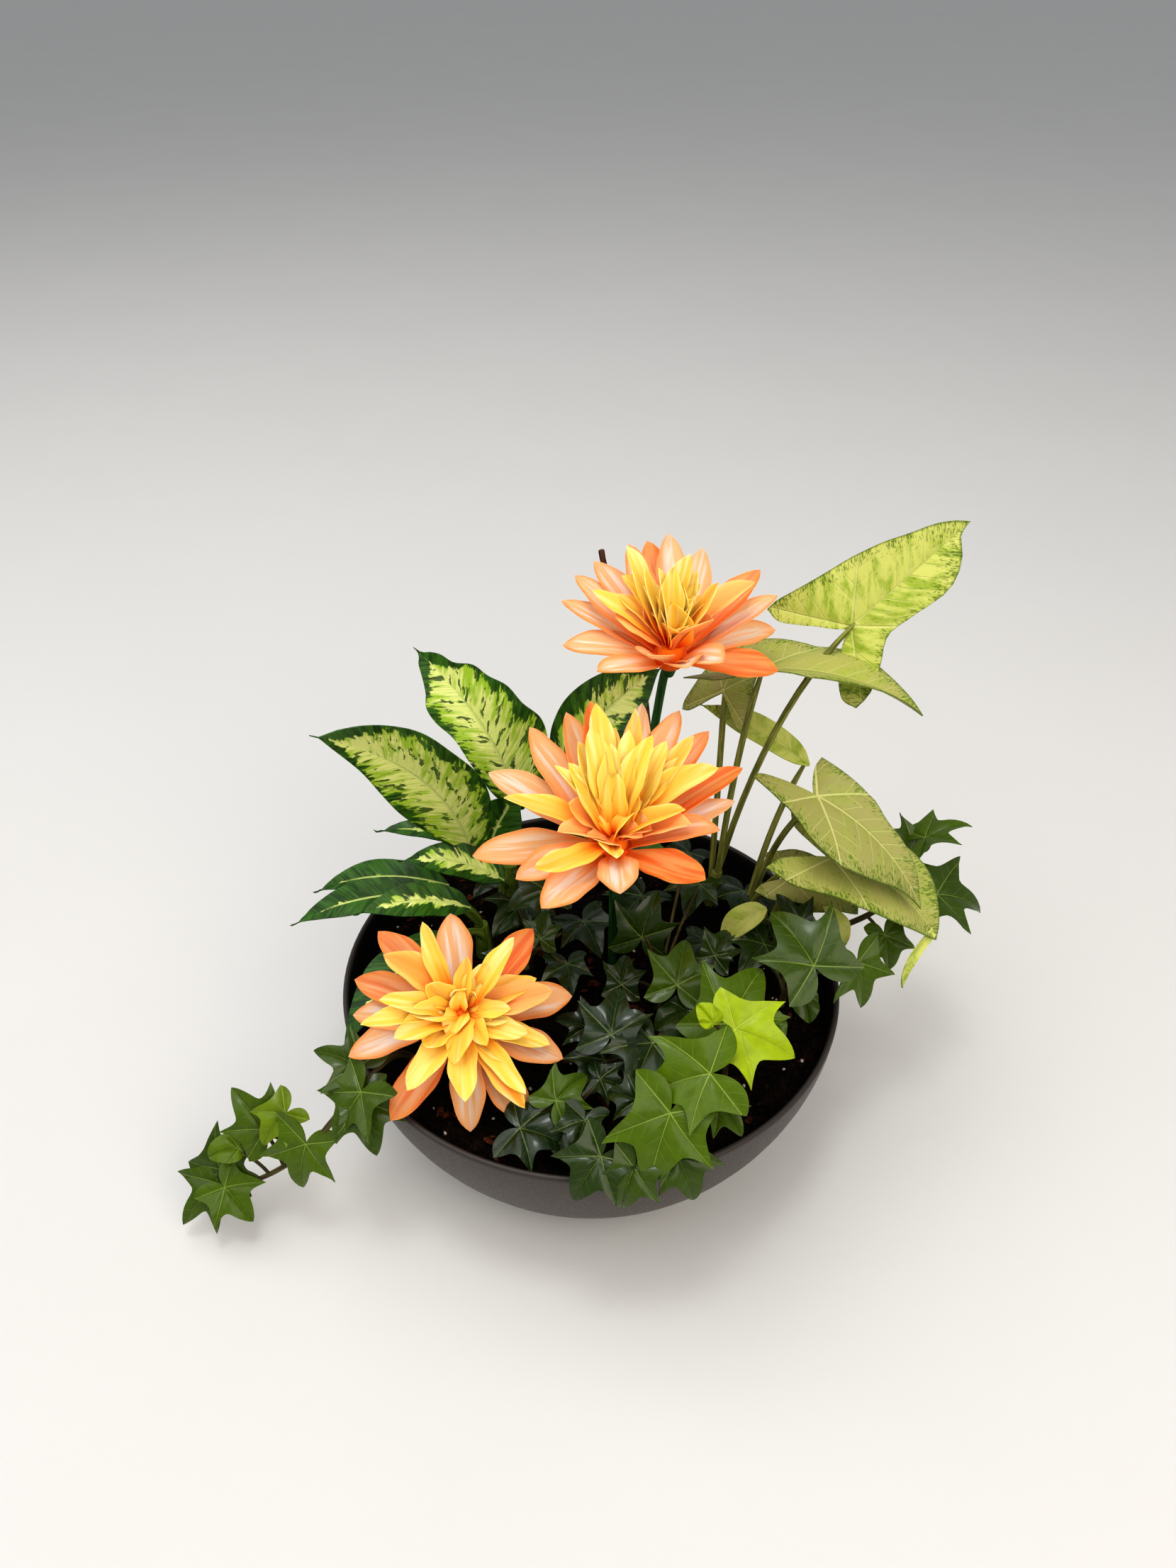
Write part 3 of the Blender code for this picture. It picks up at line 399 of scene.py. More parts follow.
def makeOuterPetalMaterial():
    look = outerPetalLook
    made, along, place, out, tone, lines, height = startPetal("outerPetal", look)
    colour = mixColour(remap(place, 0.05, 0.26), look["heart"], look["orange"])
    colour = mixColour(remap(place, 0.16, 0.42), colour, look["middle"])
    # painted highlight: pale satin sheen streaks along the middle of each petal
    paintedSheen = remap(lines, 0.42, 0.64) * remap(out, 0.95, 0.2, 0.0, 0.95) * remap(place, 0.28, 0.55)
    colour = mixColour(paintedSheen, colour, look["pale"])
    rim = calc("MINIMUM", remap(out, 0.66, 1.0, 0.0, 0.8) + remap(place, 0.82, 1.05, 0.0, 0.8), 1.0)
    colour = mixColour(rim * remap(tone, 0.1, 0.4), colour, look["orange"])
    bright = mixColour(remap(lines, 0.35, 0.6), look["heart"], look["orange"])
    colour = mixColour(remap(tone, 0.6, 0.95, 0.0, 0.92), colour, bright)
    return finishMaterial(made, colour, height, 0.001, 0.4)


bowlLook = {
    "outside": shade(64, 56, 52),
    # painted shade: the inside is the same plastic, darkened to near black where shade falls
    "inside": shade(14, 11, 10),
    # painted shade: the lip darker than the outside
    "lip": shade(48, 42, 39),
    "smoothest": 0.38,
    "roughest": 0.5,
    "specular": 0.35,
}


def makeBowlMaterial():
    look = bowlLook
    made = startMaterial("bowlPlastic", look["roughest"], look["specular"])
    place = objectPlace(made)
    speck = grain(place, 900.0, 2.0)
    inside, lip, _ = split(attribute(made, "bowlPaintedShade"))
    # painted shade: the inside wall near black and the lip darker, both on one plastic
    colour = dimmed(mixColour(inside, look["outside"], look["inside"]), mottled(place, 22.0, 0.18))
    colour = mixColour(lip * 0.6, colour, look["lip"])
    wire(shaderOf(made).inputs["Roughness"], remap(speck, 0.3, 0.7, look["smoothest"], look["roughest"]))
    return finishMaterial(made, colour, speck, 0.0001, 0.35)


soilLook = {
    "black": shade(10, 7, 5),
    "brown": shade(34, 22, 14),
    "bark": shade(92, 48, 26),
    "darkBark": shade(38, 18, 12),
    "perlite": shade(200, 192, 182),
    "greyPerlite": shade(176, 170, 162),
    "specular": 0.05,
}


def makeSoilMaterial():
    look = soilLook
    made = startMaterial("pottingSoil", 0.95, look["specular"])
    clumps = grain(objectPlace(made), 160.0, 5.0, 0.7)
    dots = grain(objectPlace(made), 700.0, 3.0, 0.6)
    colour = mixColour(remap(clumps, 0.45, 0.7), look["black"], look["brown"])
    colour = mixColour(remap(dots, 0.62, 0.72, 0.0, 0.5), colour, look["bark"])
    return finishMaterial(made, colour, clumps + dots * 0.4, 0.002, 0.8)


def makeBitMaterial(name, first, second, roughness):
    made = startMaterial(name, roughness, soilLook["specular"])
    fibres = grain(objectPlace(made), 420.0, 4.0, 0.6)
    colour = mixColour(remap(fibres, 0.35, 0.65), soilLook[first], soilLook[second])
    return finishMaterial(made, colour, fibres, 0.0008, 0.8)


materials = {
    "dieffenbachiaLeaf": makeDieffenbachiaMaterial(),
    "syngoniumLeaf": makeSyngoniumMaterial(),
    "ivyLeaf": makeIvyMaterial(),
    "outerPetal": makeOuterPetalMaterial(),
    "innerPetal": makeInnerPetalMaterial(),
    "bowl": makeBowlMaterial(),
    "soil": makeSoilMaterial(),
    "bark": makeBitMaterial("barkChips", "darkBark", "bark", 0.8),
    "perlite": makeBitMaterial("perlite", "greyPerlite", "perlite", 0.9),
    "crumb": makeBitMaterial("soilCrumbs", "black", "brown", 0.95),
}
for stemName in stemLooks:
    materials[stemName] = makeStemMaterial(stemName)
print("materials ready:", len(materials))


# Shapes

sheetLayers = ("leafFlat", "leafShape", "leafEdge")
bladeThickness = 0.6
ivyThickness = 0.45
petalThickness = 0.5


def hundredths(points):
    return [(a / 100, b / 100) for a, b in points]


def startPiece():
    bm = bmesh.new()
    for name in sheetLayers:
        bm.verts.layers.float_vector.new(name)
    return bm


def makeSheet(bm, columns, rows, place, slot=0):
    # a grid whose points go to place(u, v), with u and v from 0 to 1, closed where points meet
    flat, shape, edge = [bm.verts.layers.float_vector[name] for name in sheetLayers]
    verts = bmesh.ops.create_grid(bm, x_segments=columns, y_segments=rows, size=1.0)["verts"]
    for vert in verts:
        u = (vert.co.x + 1) / 2
        v = (vert.co.y + 1) / 2
        spot, vert[flat], vert[shape] = place(u, v)
        vert[edge] = (v, u, 0.0)
        vert.co = Vector(spot) * mm
    bmesh.ops.remove_doubles(bm, verts=verts, dist=2e-6)
    verts = [vert for vert in verts if vert.is_valid]
    faces = list({face for vert in verts for face in vert.link_faces})
    for face in faces:
        face.material_index = slot
        face.smooth = True
    bmesh.ops.recalc_face_normals(bm, faces=faces)
    return faces


def thicken(bm, faces, thickness):
    bmesh.ops.solidify(bm, geom=faces, thickness=thickness * mm)


def finishPiece(bm, name, looks, nodes):
    mesh = bpy.data.meshes.new(name)
    bm.to_mesh(mesh)
    bm.free()
    for look in looks:
        mesh.materials.append(materials[look])
    mesh.set_sharp_from_angle(angle=math.radians(60))
    piece = bpy.data.objects.new(name, mesh)
    bpy.context.scene.collection.objects.link(piece)
    if nodes:
        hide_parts(*nodes)
    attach(piece, "root")


def smoothValue(points, x):
    # a smooth curve through (x, y) pairs
    for i in range(len(points) - 1):
        if x <= points[i + 1][0] or i == len(points) - 2:
            break
    (x0, y0), (x1, y1) = points[i], points[i + 1]
    before = points[max(i - 1, 0)]
    after = points[min(i + 2, len(points) - 1)]
    span = x1 - x0
    slopeIn = (y1 - before[1]) / (x1 - before[0]) * span
    slopeOut = (after[1] - y0) / (after[0] - x0) * span
    t = min(max((x - x0) / span, 0.0), 1.0)
    return ((2 * t**3 - 3 * t**2 + 1) * y0 + (t**3 - 2 * t**2 + t) * slopeIn
            + (3 * t**2 - 2 * t**3) * y1 + (t**3 - t**2) * slopeOut)


def smoothPlace(points, t):
    # a point on a smooth curve through 2D or 3D places, with t from 0 to 1
    steps = len(points) - 1
    i = min(int(t * steps), steps - 1)
    t = t * steps - i
    a = Vector(points[i])
    b = Vector(points[i + 1])
    before = Vector(points[i - 1]) if i > 0 else a * 2 - b
    after = Vector(points[i + 2]) if i + 2 <= steps else b * 2 - a
    return (a * 2 + (b - before) * t + (before * 2 - a * 5 + b * 4 - after) * t * t
            + (a * 3 - before - b * 3 + after) * t**3) / 2


class Midrib:
    # a bent midrib from the joint to the tip, with the side that the blade faces, in millimetres
    def __init__(self, joint, tip, face, bend, lift=(0, 0, 1)):
        self.joint = Vector(joint)
        self.tip = Vector(tip)
        self.length = (self.tip - self.joint).length
        along = (self.tip - self.joint).normalized()
        face = Vector(face)
        self.face = (face - along * face.dot(along)).normalized()
        lift = Vector(lift)
        lift = (lift - along * lift.dot(along)).normalized()
        self.control = (self.joint + self.tip) / 2 + lift * bend * 2

    def point(self, along, across, raised, fold=0.0):
        inner = 1.0 - along
        if along < 0:
            centre = self.joint + (self.control - self.joint) * 2 * along
            tangent = self.control - self.joint
        elif along > 1:
            centre = self.tip + (self.tip - self.control) * 2 * (along - 1)
            tangent = self.tip - self.control
        else:
            centre = self.joint * inner * inner + self.control * 2 * along * inner
            centre = centre + self.tip * along * along
            tangent = (self.control - self.joint) * inner + (self.tip - self.control) * along
        tangent = tangent.normalized()
        normal = (self.face - tangent * self.face.dot(tangent)).normalized()
        side = tangent.cross(normal)
        turn = math.radians(fold)
        return centre + side * across * math.cos(turn) + normal * (abs(across) * math.sin(turn) + raised)


def waveAt(along, across, widest, wave, ripples):
    share = min(1.0, abs(across) / widest)
    turn = 0.0 if across >= 0 else 1.7
    return wave * math.sin(ripples * math.tau * along + turn) * share * share


# Half widths of blades, from joint to tip, as (place, share of the widest), both in hundredths
lanceWidth = [(0, 10), (12, 66), (30, 95), (50, 100), (70, 83), (86, 46), (95, 17), (100, 3)]
tailWidth = [(0, 90), (40, 100), (75, 60), (100, 0)]
petalWidth = hundredths([(0, 25), (15, 42), (40, 86), (58, 100), (74, 93), (88, 62), (95, 34), (100, 0)])
# Blades that aren't alike on both sides: right and left
ownWidths = {
    ("dieffenbachiaTall", 0): (
        [(0, 10), (12, 68), (28, 110), (44, 134), (60, 140), (72, 138), (82, 115), (91, 86), (95, 60),
         (98, 34), (100, 3)],
        [(0, 10), (12, 60), (30, 94), (58, 90), (80, 50), (92, 24), (97, 10), (100, 3)],
    ),
    ("dieffenbachiaTall", 1): (
        [(0, 10), (14, 80), (30, 120), (44, 136), (54, 118), (64, 110), (72, 86), (80, 74), (86, 44),
         (93, 34), (97, 20), (100, 6)],
        [(0, 10), (14, 50), (35, 68), (55, 72), (68, 84), (78, 78), (84, 56), (92, 34), (97, 20), (100, 6)],
    ),
}


def addStrip(bm, rib, profiles, halfWidth, fold, wave, ripples, seed, tone, grid, tip=0.0):
    # a long blade with a profile per side; tip is the length of a thin drip tip
    profiles = [hundredths(points) for points in profiles]
    reach = 1.0 + tip / rib.length
    tipStart = 0.97
    quilt = 0.25  # how far the blade swells between the side veins

    def place(u, v):
        along = v * reach
        share = u * 2 - 1
        width = halfWidth * smoothValue(profiles[0 if share > 0 else 1], min(along, 1.0))
        if tip and along > tipStart:
            width = max(width, 0.5) * (reach - along) / (reach - tipStart)
        across = share * width
        swell = math.sin((along * rib.length - abs(across) * 0.8) * 0.9)
        veins = quilt * swell * abs(share) * (1 - abs(share)) * 2
        raised = waveAt(along, across, halfWidth, wave, ripples) + veins
        droop = -0.02 * tip * max(0.0, along - tipStart) * rib.length
        spot = rib.point(along, across, raised + droop, fold)
        return spot, (along * rib.length, across, seed), (along, share, tone)

    thicken(bm, makeSheet(bm, *grid, place), bladeThickness)


# Outlines of lobed blades in hundredths of the length, from the tip to the notch; runs meet at a lobe's tip
ivyEdges = {
    "broad": [
        [(100, 0), (87, 10), (71, 19), (57, 25), (47, 31), (45, 43), (48, 57), (53, 71)],
        [(53, 71), (40, 64), (25, 56), (11, 49), (-4, 49), (-19, 55), (-33, 60)],
        [(-33, 60), (-38, 46), (-38, 30), (-31, 16), (-19, 6), (-3, 0)],
    ],
    "deep": [
        [(100, 0), (84, 9), (66, 17), (49, 21), (40, 27), (41, 43), (44, 60), (47, 74)],
        [(47, 74), (34, 65), (19, 53), (5, 45), (-10, 49), (-24, 56), (-37, 62)],
        [(-37, 62), (-39, 46), (-37, 30), (-30, 16), (-18, 6), (-3, 0)],
    ],
    "bud": [
        [(100, 0), (85, 20), (62, 38), (36, 48), (14, 50)],
        [(14, 50), (0, 42), (-10, 25), (-9, 10), (-3, 0)],
    ],
}
arrowEdges = {
    "wide": [
        [(100, 0), (90, 10), (76, 21), (50, 32), (22, 39), (-6, 46), (-26, 53), (-36, 52)],
        [(-36, 52), (-34, 40), (-24, 26), (-12, 12), (-3, 0)],
    ],
    "narrow": [
        [(100, 0), (86, 9), (62, 20), (34, 26), (8, 28), (-16, 27), (-36, 22)],
        [(-36, 22), (-30, 12), (-16, 5), (-3, 0)],
    ],
}
ownEdges = {  # right and left side
    ("syngoniumTall", 0): (
        [[(100, 0), (94, 1), (89, 4), (84, 12), (72, 21), (58, 24), (41, 22), (30, 21), (18, 20), (10, 23),
          (0, 31), (-11, 38), (-22, 43), (-34, 44)],
         [(-34, 44), (-37, 33), (-29, 20), (-19, 10), (-10, 4), (-3, 0)]],
        [[(100, 0), (94, 7), (84, 14), (70, 20), (55, 27), (43, 31), (29, 35), (10, 39), (-11, 44),
          (-24, 47), (-33, 47)],
         [(-33, 47), (-33, 36), (-25, 25), (-17, 16), (-10, 7), (-3, 0)]],
    ),
    ("syngoniumMiddle", 0): (
        [[(100, 0), (88, 6), (78, 12), (62, 26), (39, 37), (18, 37), (4, 29), (-10, 21), (-27, 16),
          (-38, 13)],
         [(-38, 13), (-36, 7), (-24, 3), (-12, 1), (-3, 0)]],
        [[(100, 0), (90, 3), (78, 8), (60, 12), (42, 14), (28, 20), (15, 22), (0, 24), (-12, 26)],
         [(-12, 26), (-12, 18), (-8, 8), (-3, 0)]],
    ),
}


def edgePoint(sides, u):
    # u goes round the blade from the notch, over one side to the tip and back; runs meet at the lobes' tips
    half = 1 - abs(2 * u - 1)  # 0 at the notch, 1 at the tip
    side = 1 if u < 0.5 else -1
    runs = sides[0] if u < 0.5 else sides[1]
    place = (1 - half) * len(runs)
    run = min(int(place), len(runs) - 1)
    a, b = smoothPlace(runs[run], place - run)
    return a, max(b, 0.0) * side


def veinDistance(a, b, angles):
    best = 9.0
    for angle in (0.0, *angles):
        off = abs(a * math.sin(angle) - abs(b) * math.cos(angle))
        run = a * math.cos(angle) + abs(b) * math.sin(angle)
        best = min(best, off + max(0.0, -run))
    return best


def varied(runs, rng, amount):
    # the same outline on both sides, each a little wider or narrower
    sides = []
    for side in range(2):
        wider = 1 + rng.uniform(-amount, amount)
        longer = rng.uniform(-amount, amount) * 0.4
        sides.append([[(a + longer * b, b * wider) for a, b in hundredths(run)] for run in runs])
    return sides


def addFan(bm, rib, sides, angles, widthShare, fold, wave, ripples, thickness, seed, tone, grid, relief,
           droop):
    # a lobed blade whose points spread from the place where the veins meet
    centre = 0.06
    widest = max(b for runs in sides for run in runs for a, b in run) * rib.length * widthShare

    def place(u, v):
        a, b = edgePoint(sides, u)
        share = v**0.9
        along = centre + (a - centre) * share
        across = b * share
        away = veinDistance(along, across, angles)
        raised = relief * (1 - math.exp(-away / 0.07)) - droop * (share * math.hypot(a, b)) ** 3
        across *= rib.length * widthShare
        raised += waveAt(along, across, widest, wave, ripples)
        spot = rib.point(along, across, raised, fold)
        return spot, (along * rib.length, across, seed), (along, across / rib.length, tone)

    thicken(bm, makeSheet(bm, *grid, place), thickness)


def addTube(bm, path, radii, seed, sides=12, rows=None, slot=1):
    # a round stem through smooth points, closed at both ends
    rows = rows or 6 * (len(path) - 1)
    length = sum((Vector(b) - Vector(a)).length for a, b in zip(path, path[1:]))

    def place(u, v):
        run = min(max((v * (rows + 2) - 1) / rows, 0.0), 1.0)
        spot = smoothPlace(path, run)
        ahead = smoothPlace(path, min(run + 0.01, 1.0)) - smoothPlace(path, max(run - 0.01, 0.0))
        ahead.normalize()
        side = ahead.cross(Vector((0.31, 0.95, 0.05))).normalized()
        other = ahead.cross(side)
        radius = smoothValue([(i / (len(radii) - 1), r) for i, r in enumerate(radii)], run)
        if v < 1e-6 or v > 1 - 1e-6:
            radius = 0.0
        turn = math.tau * u
        spot = spot + (side * math.cos(turn) + other * math.sin(turn)) * radius
        return spot, (run * length, radius * turn, seed), (run, u, 0.5)

    makeSheet(bm, sides, rows + 2, place, slot)


def stalkPath(start, rib):
    start = Vector(start)
    end = rib.joint + (rib.tip - rib.joint).normalized() * 2.4
    span = (end - start).length
    middle = (start + end) / 2 + Vector((0, 0, 1)) * span * 0.1
    middle = middle - Vector((end.x - start.x, end.y - start.y, 0)) * 0.1
    control = middle * 2 - (start + end) / 2
    steps = 6
    path = []
    for i in range(steps + 1):
        t = i / steps
        path.append(start * (1 - t) ** 2 + control * 2 * t * (1 - t) + end * t * t)
    return path


# Leafy stems: the points of the stem, each with its radius, then the leaves.
# Ivy: start of the stalk, joint, tip, direction faced, outline, tone, and the bend where it isn't 2.
# Small dark ivy low between the stems, dark partly as painted shade: start of the stalk, joint, tip, tone.
# Others: kind, start of the stalk, joint, tip, direction faced, half width, bend, fold, wave, tone.

plants = {
    "dieffenbachiaTall": (
        [(-44, 46, 70, 6), (-44, 46, 90, 5.8), (-45, 47, 106, 5.4), (-44, 50, 122, 4.5)],
        ("lance", (-45, 47, 112), (-62, 42, 137), (-125, 14, 230), (-0.35, -0.8, 0.5), 21, 14, 12, 1.2, 1),
        ("lance", (-44, 50, 118), (-38, 64, 148), (-86, 82, 234), (-0.1, -0.85, 0.5), 22, 9, 12, 1.6, 1),
        ("lance", (-45, 48, 108), (-54, 56, 128), (-38, 60, 160), (0.1, -0.8, 0.6), 13, 3, 12, 0.6, 0.1),
        ("lance", (-45, 46, 104), (-46, 34, 124), (-96, 34, 138), (0, -0.45, 0.9), 10.5, 6, 24, 0.8, 0.7),
        ("lance", (-45, 48, 106), (-72, 66, 124), (-114, 70, 128), (0, -0.3, 0.95), 6, 4, 20, 0.3, 0.1),
    ),
    "dieffenbachiaBack": (
        [(-6, 84, 70, 5.5), (-6, 84, 92, 5.2), (-8, 84, 120, 4.6), (-8, 86, 150, 3.6)],
        ("lance", (-8, 85, 144), (-16, 86, 160), (35, 95, 216), (-0.1, -0.8, 0.6), 19.5, 5, 12, 1, 0.75),
        ("lance", (-8, 84, 116), (4, 58, 124), (46, 36, 128), (0, -0.4, 0.9), 11, 5, 18, 0.8, 0.2),
    ),
    "dieffenbachiaLow": (
        [(-57, 22, 70, 5), (-57, 22, 88, 4.6), (-58, 22, 104, 3.6)],
        ("lance", (-57, 22, 98), (-76, 40, 115), (-146, 44, 108), (0, -0.35, 0.93), 9.5, 8, 22, 0.8, 0.1),
        ("lance", (-57, 22, 100), (-78, 27, 119), (-150, 10, 117), (0, -0.4, 0.9), 10, 8, 20, 0.8, 0.1),
        ("lance", (-58, 21, 102), (-62, 13, 124), (-113, -5, 138), (0.1, -0.5, 0.85), 9.5, 6, 20, 0.8, 0.45),
        ("lance", (-57, 20, 96), (-66, 4, 114), (-118, -56, 100), (-0.35, -0.1, 0.93), 15, 14, 14, 0.8, 0.1),
    ),
    "syngoniumTall": (
        [(68, 62, 70, 4.2), (68, 62, 90, 4), (69, 62, 98, 3.6), (70, 62, 106, 3)],
        ("wide", (70, 62, 104), (130, 88, 246), (177, 84, 304), (-0.05, -0.82, 0.58), 1, 0, 7, 0.8, 1),
        ("narrow", (70, 61, 102), (83, 74, 229), (164, 54, 216), (-0.1, 0.22, 0.97), 1.1, 9, 12, 1.2, 0.5),
        ("wide", (67, 63, 98), (70, 100, 200), (92, 132, 212), (0, -0.15, 0.98), 0.95, 6, -16, 1, 0.3),
    ),
    "syngoniumMiddle": (
        [(86, 44, 70, 3.8), (86, 44, 86, 3.6), (86, 44, 94, 3.2), (87, 44, 101, 2.8)],
        ("narrow", (87, 44, 98), (111, 28, 185), (160, -12, 147), (0.35, -0.6, 0.72), 1.15, 9, 10, 1, 0.35),
        ("lance", (86, 46, 97), (119, 90, 158), (60, 104, 188), (0.2, -0.6, 0.75), 9, 3, 24, 0.5, 0.8),
        ("narrow", (86, 43, 94), (119, 14, 157), (172, -10, 124), (0.25, -0.45, 0.85), 1.3, 9, 12, 1, 0.5),
        ("tail", None, None, (157, -18, 98), (0.5, -0.3, 0.8), 3.4, 7, 20, 0, 0.9),
    ),
    "syngoniumLow": (
        [(94, 28, 70, 3.4), (94, 28, 86, 3), (95, 28, 96, 2.6)],
        ("narrow", (95, 28, 92), (104, 31, 128), (139, 17, 116), (0.1, -0.4, 0.9), 1.5, 5, 10, 0.8, 0.3),
        ("lance", (94, 28, 88), (91, 18, 119), (68, 12, 101), (-0.2, -0.5, 0.8), 7.5, 4, 18, 0.5, 0.6),
        ("lance", (95, 27, 91), (117, 6, 132), (126, -8, 115), (0.3, -0.3, 0.9), 5, 7, 20, 0.4, 0.5),
    ),
    "ivyTrailing": (
        [(-86, -56, 70, 1.7), (-86, -56, 90, 1.7), (-93, -67, 105, 1.6), (-104, -82, 104, 1.5),
         (-122, -86, 80, 1.5), (-136, -85, 58, 1.4), (-154, -84, 40, 1.3), (-170, -83, 28, 1.1)],
        ((-98, -74, 104), (-107, -76, 109), (-131, -69, 113), (-0.1, -0.45, 0.9), "deep", 0.3),
        ((-106, -83, 101), (-104, -89, 107), (-118, -103, 84), (-0.5, -0.6, 0.6), "deep", 0.35),
        ((-104, -82, 104), (-104, -90, 101), (-96, -110, 84), (0.1, -0.7, 0.7), "broad", 0.3),
        ((-130, -85, 66), (-135, -88, 67), (-140, -96, 38), (-0.2, -0.8, 0.6), "deep", 0.45),
        ((-140, -85, 54), (-146, -76, 74), (-158, -86, 60), (-0.3, -0.65, 0.7), "broad", 0.66),
        ((-150, -84, 44), (-158, -76, 62), (-177, -62, 78), (-0.2, -0.6, 0.75), "broad", 0.4),
        ((-158, -84, 37), (-171, -80, 52), (-188, -84, 50), (-0.2, -0.5, 0.85), "bud", 0.58),
        ((-164, -83, 32), (-184, -79, 34), (-163, -68, 48), (0, -0.65, 0.75), "broad", 0.3),
        ((-168, -83, 29), (-184, -84, 29), (-205, -96, 9), (-0.3, -0.6, 0.75), "deep", 0.35),
        ((-166, -83, 31), (-180, -88, 32), (-164, -101, 19), (0.2, -0.7, 0.7), "broad", 0.45),
    ),
    "ivyFrontLeft": (
        [(-16, -80, 70, 1.6), (-16, -80, 88, 1.6), (-8, -90, 97, 1.4), (0, -98, 101, 1.2)],
        ((-15, -82, 91), (-16, -94, 107), (0, -80, 110), (0, -0.5, 0.85), "broad", 0.4),
        ((-15, -81, 90), (-18, -92, 95), (-12, -118, 93), (-0.1, -0.4, 0.9), "broad", 0.1),
        ((-7, -91, 97), (4, -82, 107), (20, -88, 104), (0.1, -0.4, 0.9), "deep", 0.1),
        ((-1, -97, 101), (-3, -105, 108), (-8, -122, 100), (-0.1, -0.4, 0.9), "broad", 0.15),
        ((-15, -82, 90), (-32, -102, 98), (-8, -110, 94), 0.05),
    ),
    "ivyHanging": (
        [(31, -84, 70, 1.8), (31, -84, 88, 1.7), (32, -98, 112, 1.6), (30, -116, 112, 1.3)],
        ((31, -92, 101), (50, -106, 141), (19, -108, 124), (0.05, -0.55, 0.85), "broad", 0.55, 3),
        ((32, -104, 112), (33, -117, 129), (24, -134, 97), (0, -0.8, 0.6), "broad", 0.5, 3),
        ((31, -112, 112), (36, -124, 110), (45, -135, 88), (0.15, -0.85, 0.5), "broad", 0.3),
        ((30, -115, 112), (18, -129, 108), (12, -138, 86), (-0.1, -0.85, 0.5), "broad", 0.3),
        ((30, -115, 112), (4, -125, 110), (-9, -137, 92), (-0.2, -0.75, 0.6), "broad", 0.2),
        ((31, -90, 98), (55, -106, 119), (66, -118, 112), (0.2, -0.5, 0.85), "broad", 0.4),
        ((32, -102, 112), (20, -103, 119), (4, -96, 115), (-0.1, -0.5, 0.85), "broad", 0.15),
    ),
    "ivyDark": (
        [(26, -56, 70, 1.6), (26, -56, 88, 1.6), (26, -60, 98, 1.5), (25, -64, 106, 1.3)],
        ((26, -61, 99), (28, -70, 118), (16, -97, 108), (0, -0.4, 0.9), "broad", 0.15),
        ((25, -63, 104), (9, -68, 121), (14, -42, 128), (-0.1, -0.45, 0.9), "broad", 0.1),
        ((26, -60, 97), (46, -44, 110), (29, -53, 106), (0.1, -0.3, 0.95), "bud", 0.2),
        ((26, -59, 94), (-2, -54, 110), (-20, -48, 110), (-0.1, -0.4, 0.9), "deep", 0.1),
        ((26, -59, 92), (6, -66, 101), (-8, -86, 96), 0.1),
    ),
    "ivyLime": (
        [(64, -62, 70, 1.7), (64, -62, 90, 1.6), (61, -76, 120, 1.4), (58, -88, 140, 1.1)],
        ((64, -63, 96), (63, -63, 123), (84, -31, 131), (0, -0.5, 0.85), "broad", 0.45, 3),
        ((59, -84, 134), (62, -87, 147), (91, -95, 136), (0.1, -0.55, 0.85), "broad", 1),
        ((58, -88, 139), (52, -88, 152), (45, -80, 156), (-0.1, -0.5, 0.85), "bud", 0.95, 1),
        ((64, -63, 92), (84, -52, 114), (90, -64, 110), (0.2, -0.5, 0.85), "bud", 0.4, 1),
    ),
    "ivyMiddle": (
        [(34, -18, 70, 1.6), (34, -18, 88, 1.6), (34, -17, 98, 1.4), (33, -16, 110, 1.2)],
        ((33, -16, 107), (25, -10, 126), (34, 3, 148), (0.05, -0.8, 0.6), "broad", 0.2),
        ((34, -17, 100), (41, -38, 122), (47, -13, 131), (0, -0.5, 0.85), "broad", 0.35),
        ((34, -18, 94), (15, -25, 108), (18, -6, 112), (0, -0.4, 0.9), "broad", 0.15),
        ((34, -18, 92), (62, -10, 113), (72, 6, 118), (0.1, -0.45, 0.9), "broad", 0.2),
        ((34, -18, 92), (28, 48, 100), (12, 24, 97), 0.1),
        ((34, -18, 94), (60, 54, 103), (50, 30, 98), 0.2),
        ((34, -18, 92), (62, 12, 100), (55, -13, 97), 0.1),
        ((34, -18, 90), (56, 84, 100), (44, 62, 97), 0.05),
    ),
    "ivyInner": (
        [(-32, 12, 70, 1.6), (-32, 12, 88, 1.6), (-31, 13, 96, 1.4), (-29, 14, 104, 1.2)],
        ((-29, 14, 101), (-23, 32, 118), (-46, 22, 112), (0, -0.4, 0.9), "broad", 0.15),
        ((-31, 13, 96), (-26, 2, 113), (-23, 20, 119), (0, -0.5, 0.85), "broad", 0.2, 1),
        ((-32, 12, 92), (-42, -2, 101), (-56, -14, 97), (0, -0.3, 0.95), "broad", 0.1),
        ((-31, 13, 94), (-12, -6, 103), (-10, -28, 99), (0, -0.4, 0.9), "broad", 0.05),
        ((-31, 13, 94), (-48, 64, 104), (-66, 46, 99), 0.1),
        ((-31, 13, 92), (-36, 40, 101), (-54, 18, 97), 0.15),
        ((-31, 13, 90), (-4, 30, 98), (6, 4, 95), 0.05),
    ),
    "ivyRight": (
        [(98, -16, 70, 1.7), (98, -16, 90, 1.7), (101, -22, 104, 1.5), (104, -26, 116, 1.3)],
        ((104, -26, 114), (105, -38, 135), (85, -9, 146), (0, -0.55, 0.8), "broad", 0.3, 3),
        ((102, -23, 107), (131, -20, 119), (136, -28, 91), (0.4, -0.75, 0.5), "deep", 0.4),
        ((100, -20, 100), (103, -34, 111), (106, -47, 103), (0.1, -0.5, 0.85), "bud", 0.3, 1),
        ((100, -19, 98), (104, 0, 124), (94, 20, 130), (0, -0.5, 0.85), "deep", 0.15, 1),
        ((98, -16, 92), (98, 30, 101), (117, 12, 98), 0.1),
        ((98, -16, 92), (90, 8, 103), (74, -12, 98), 0.2),
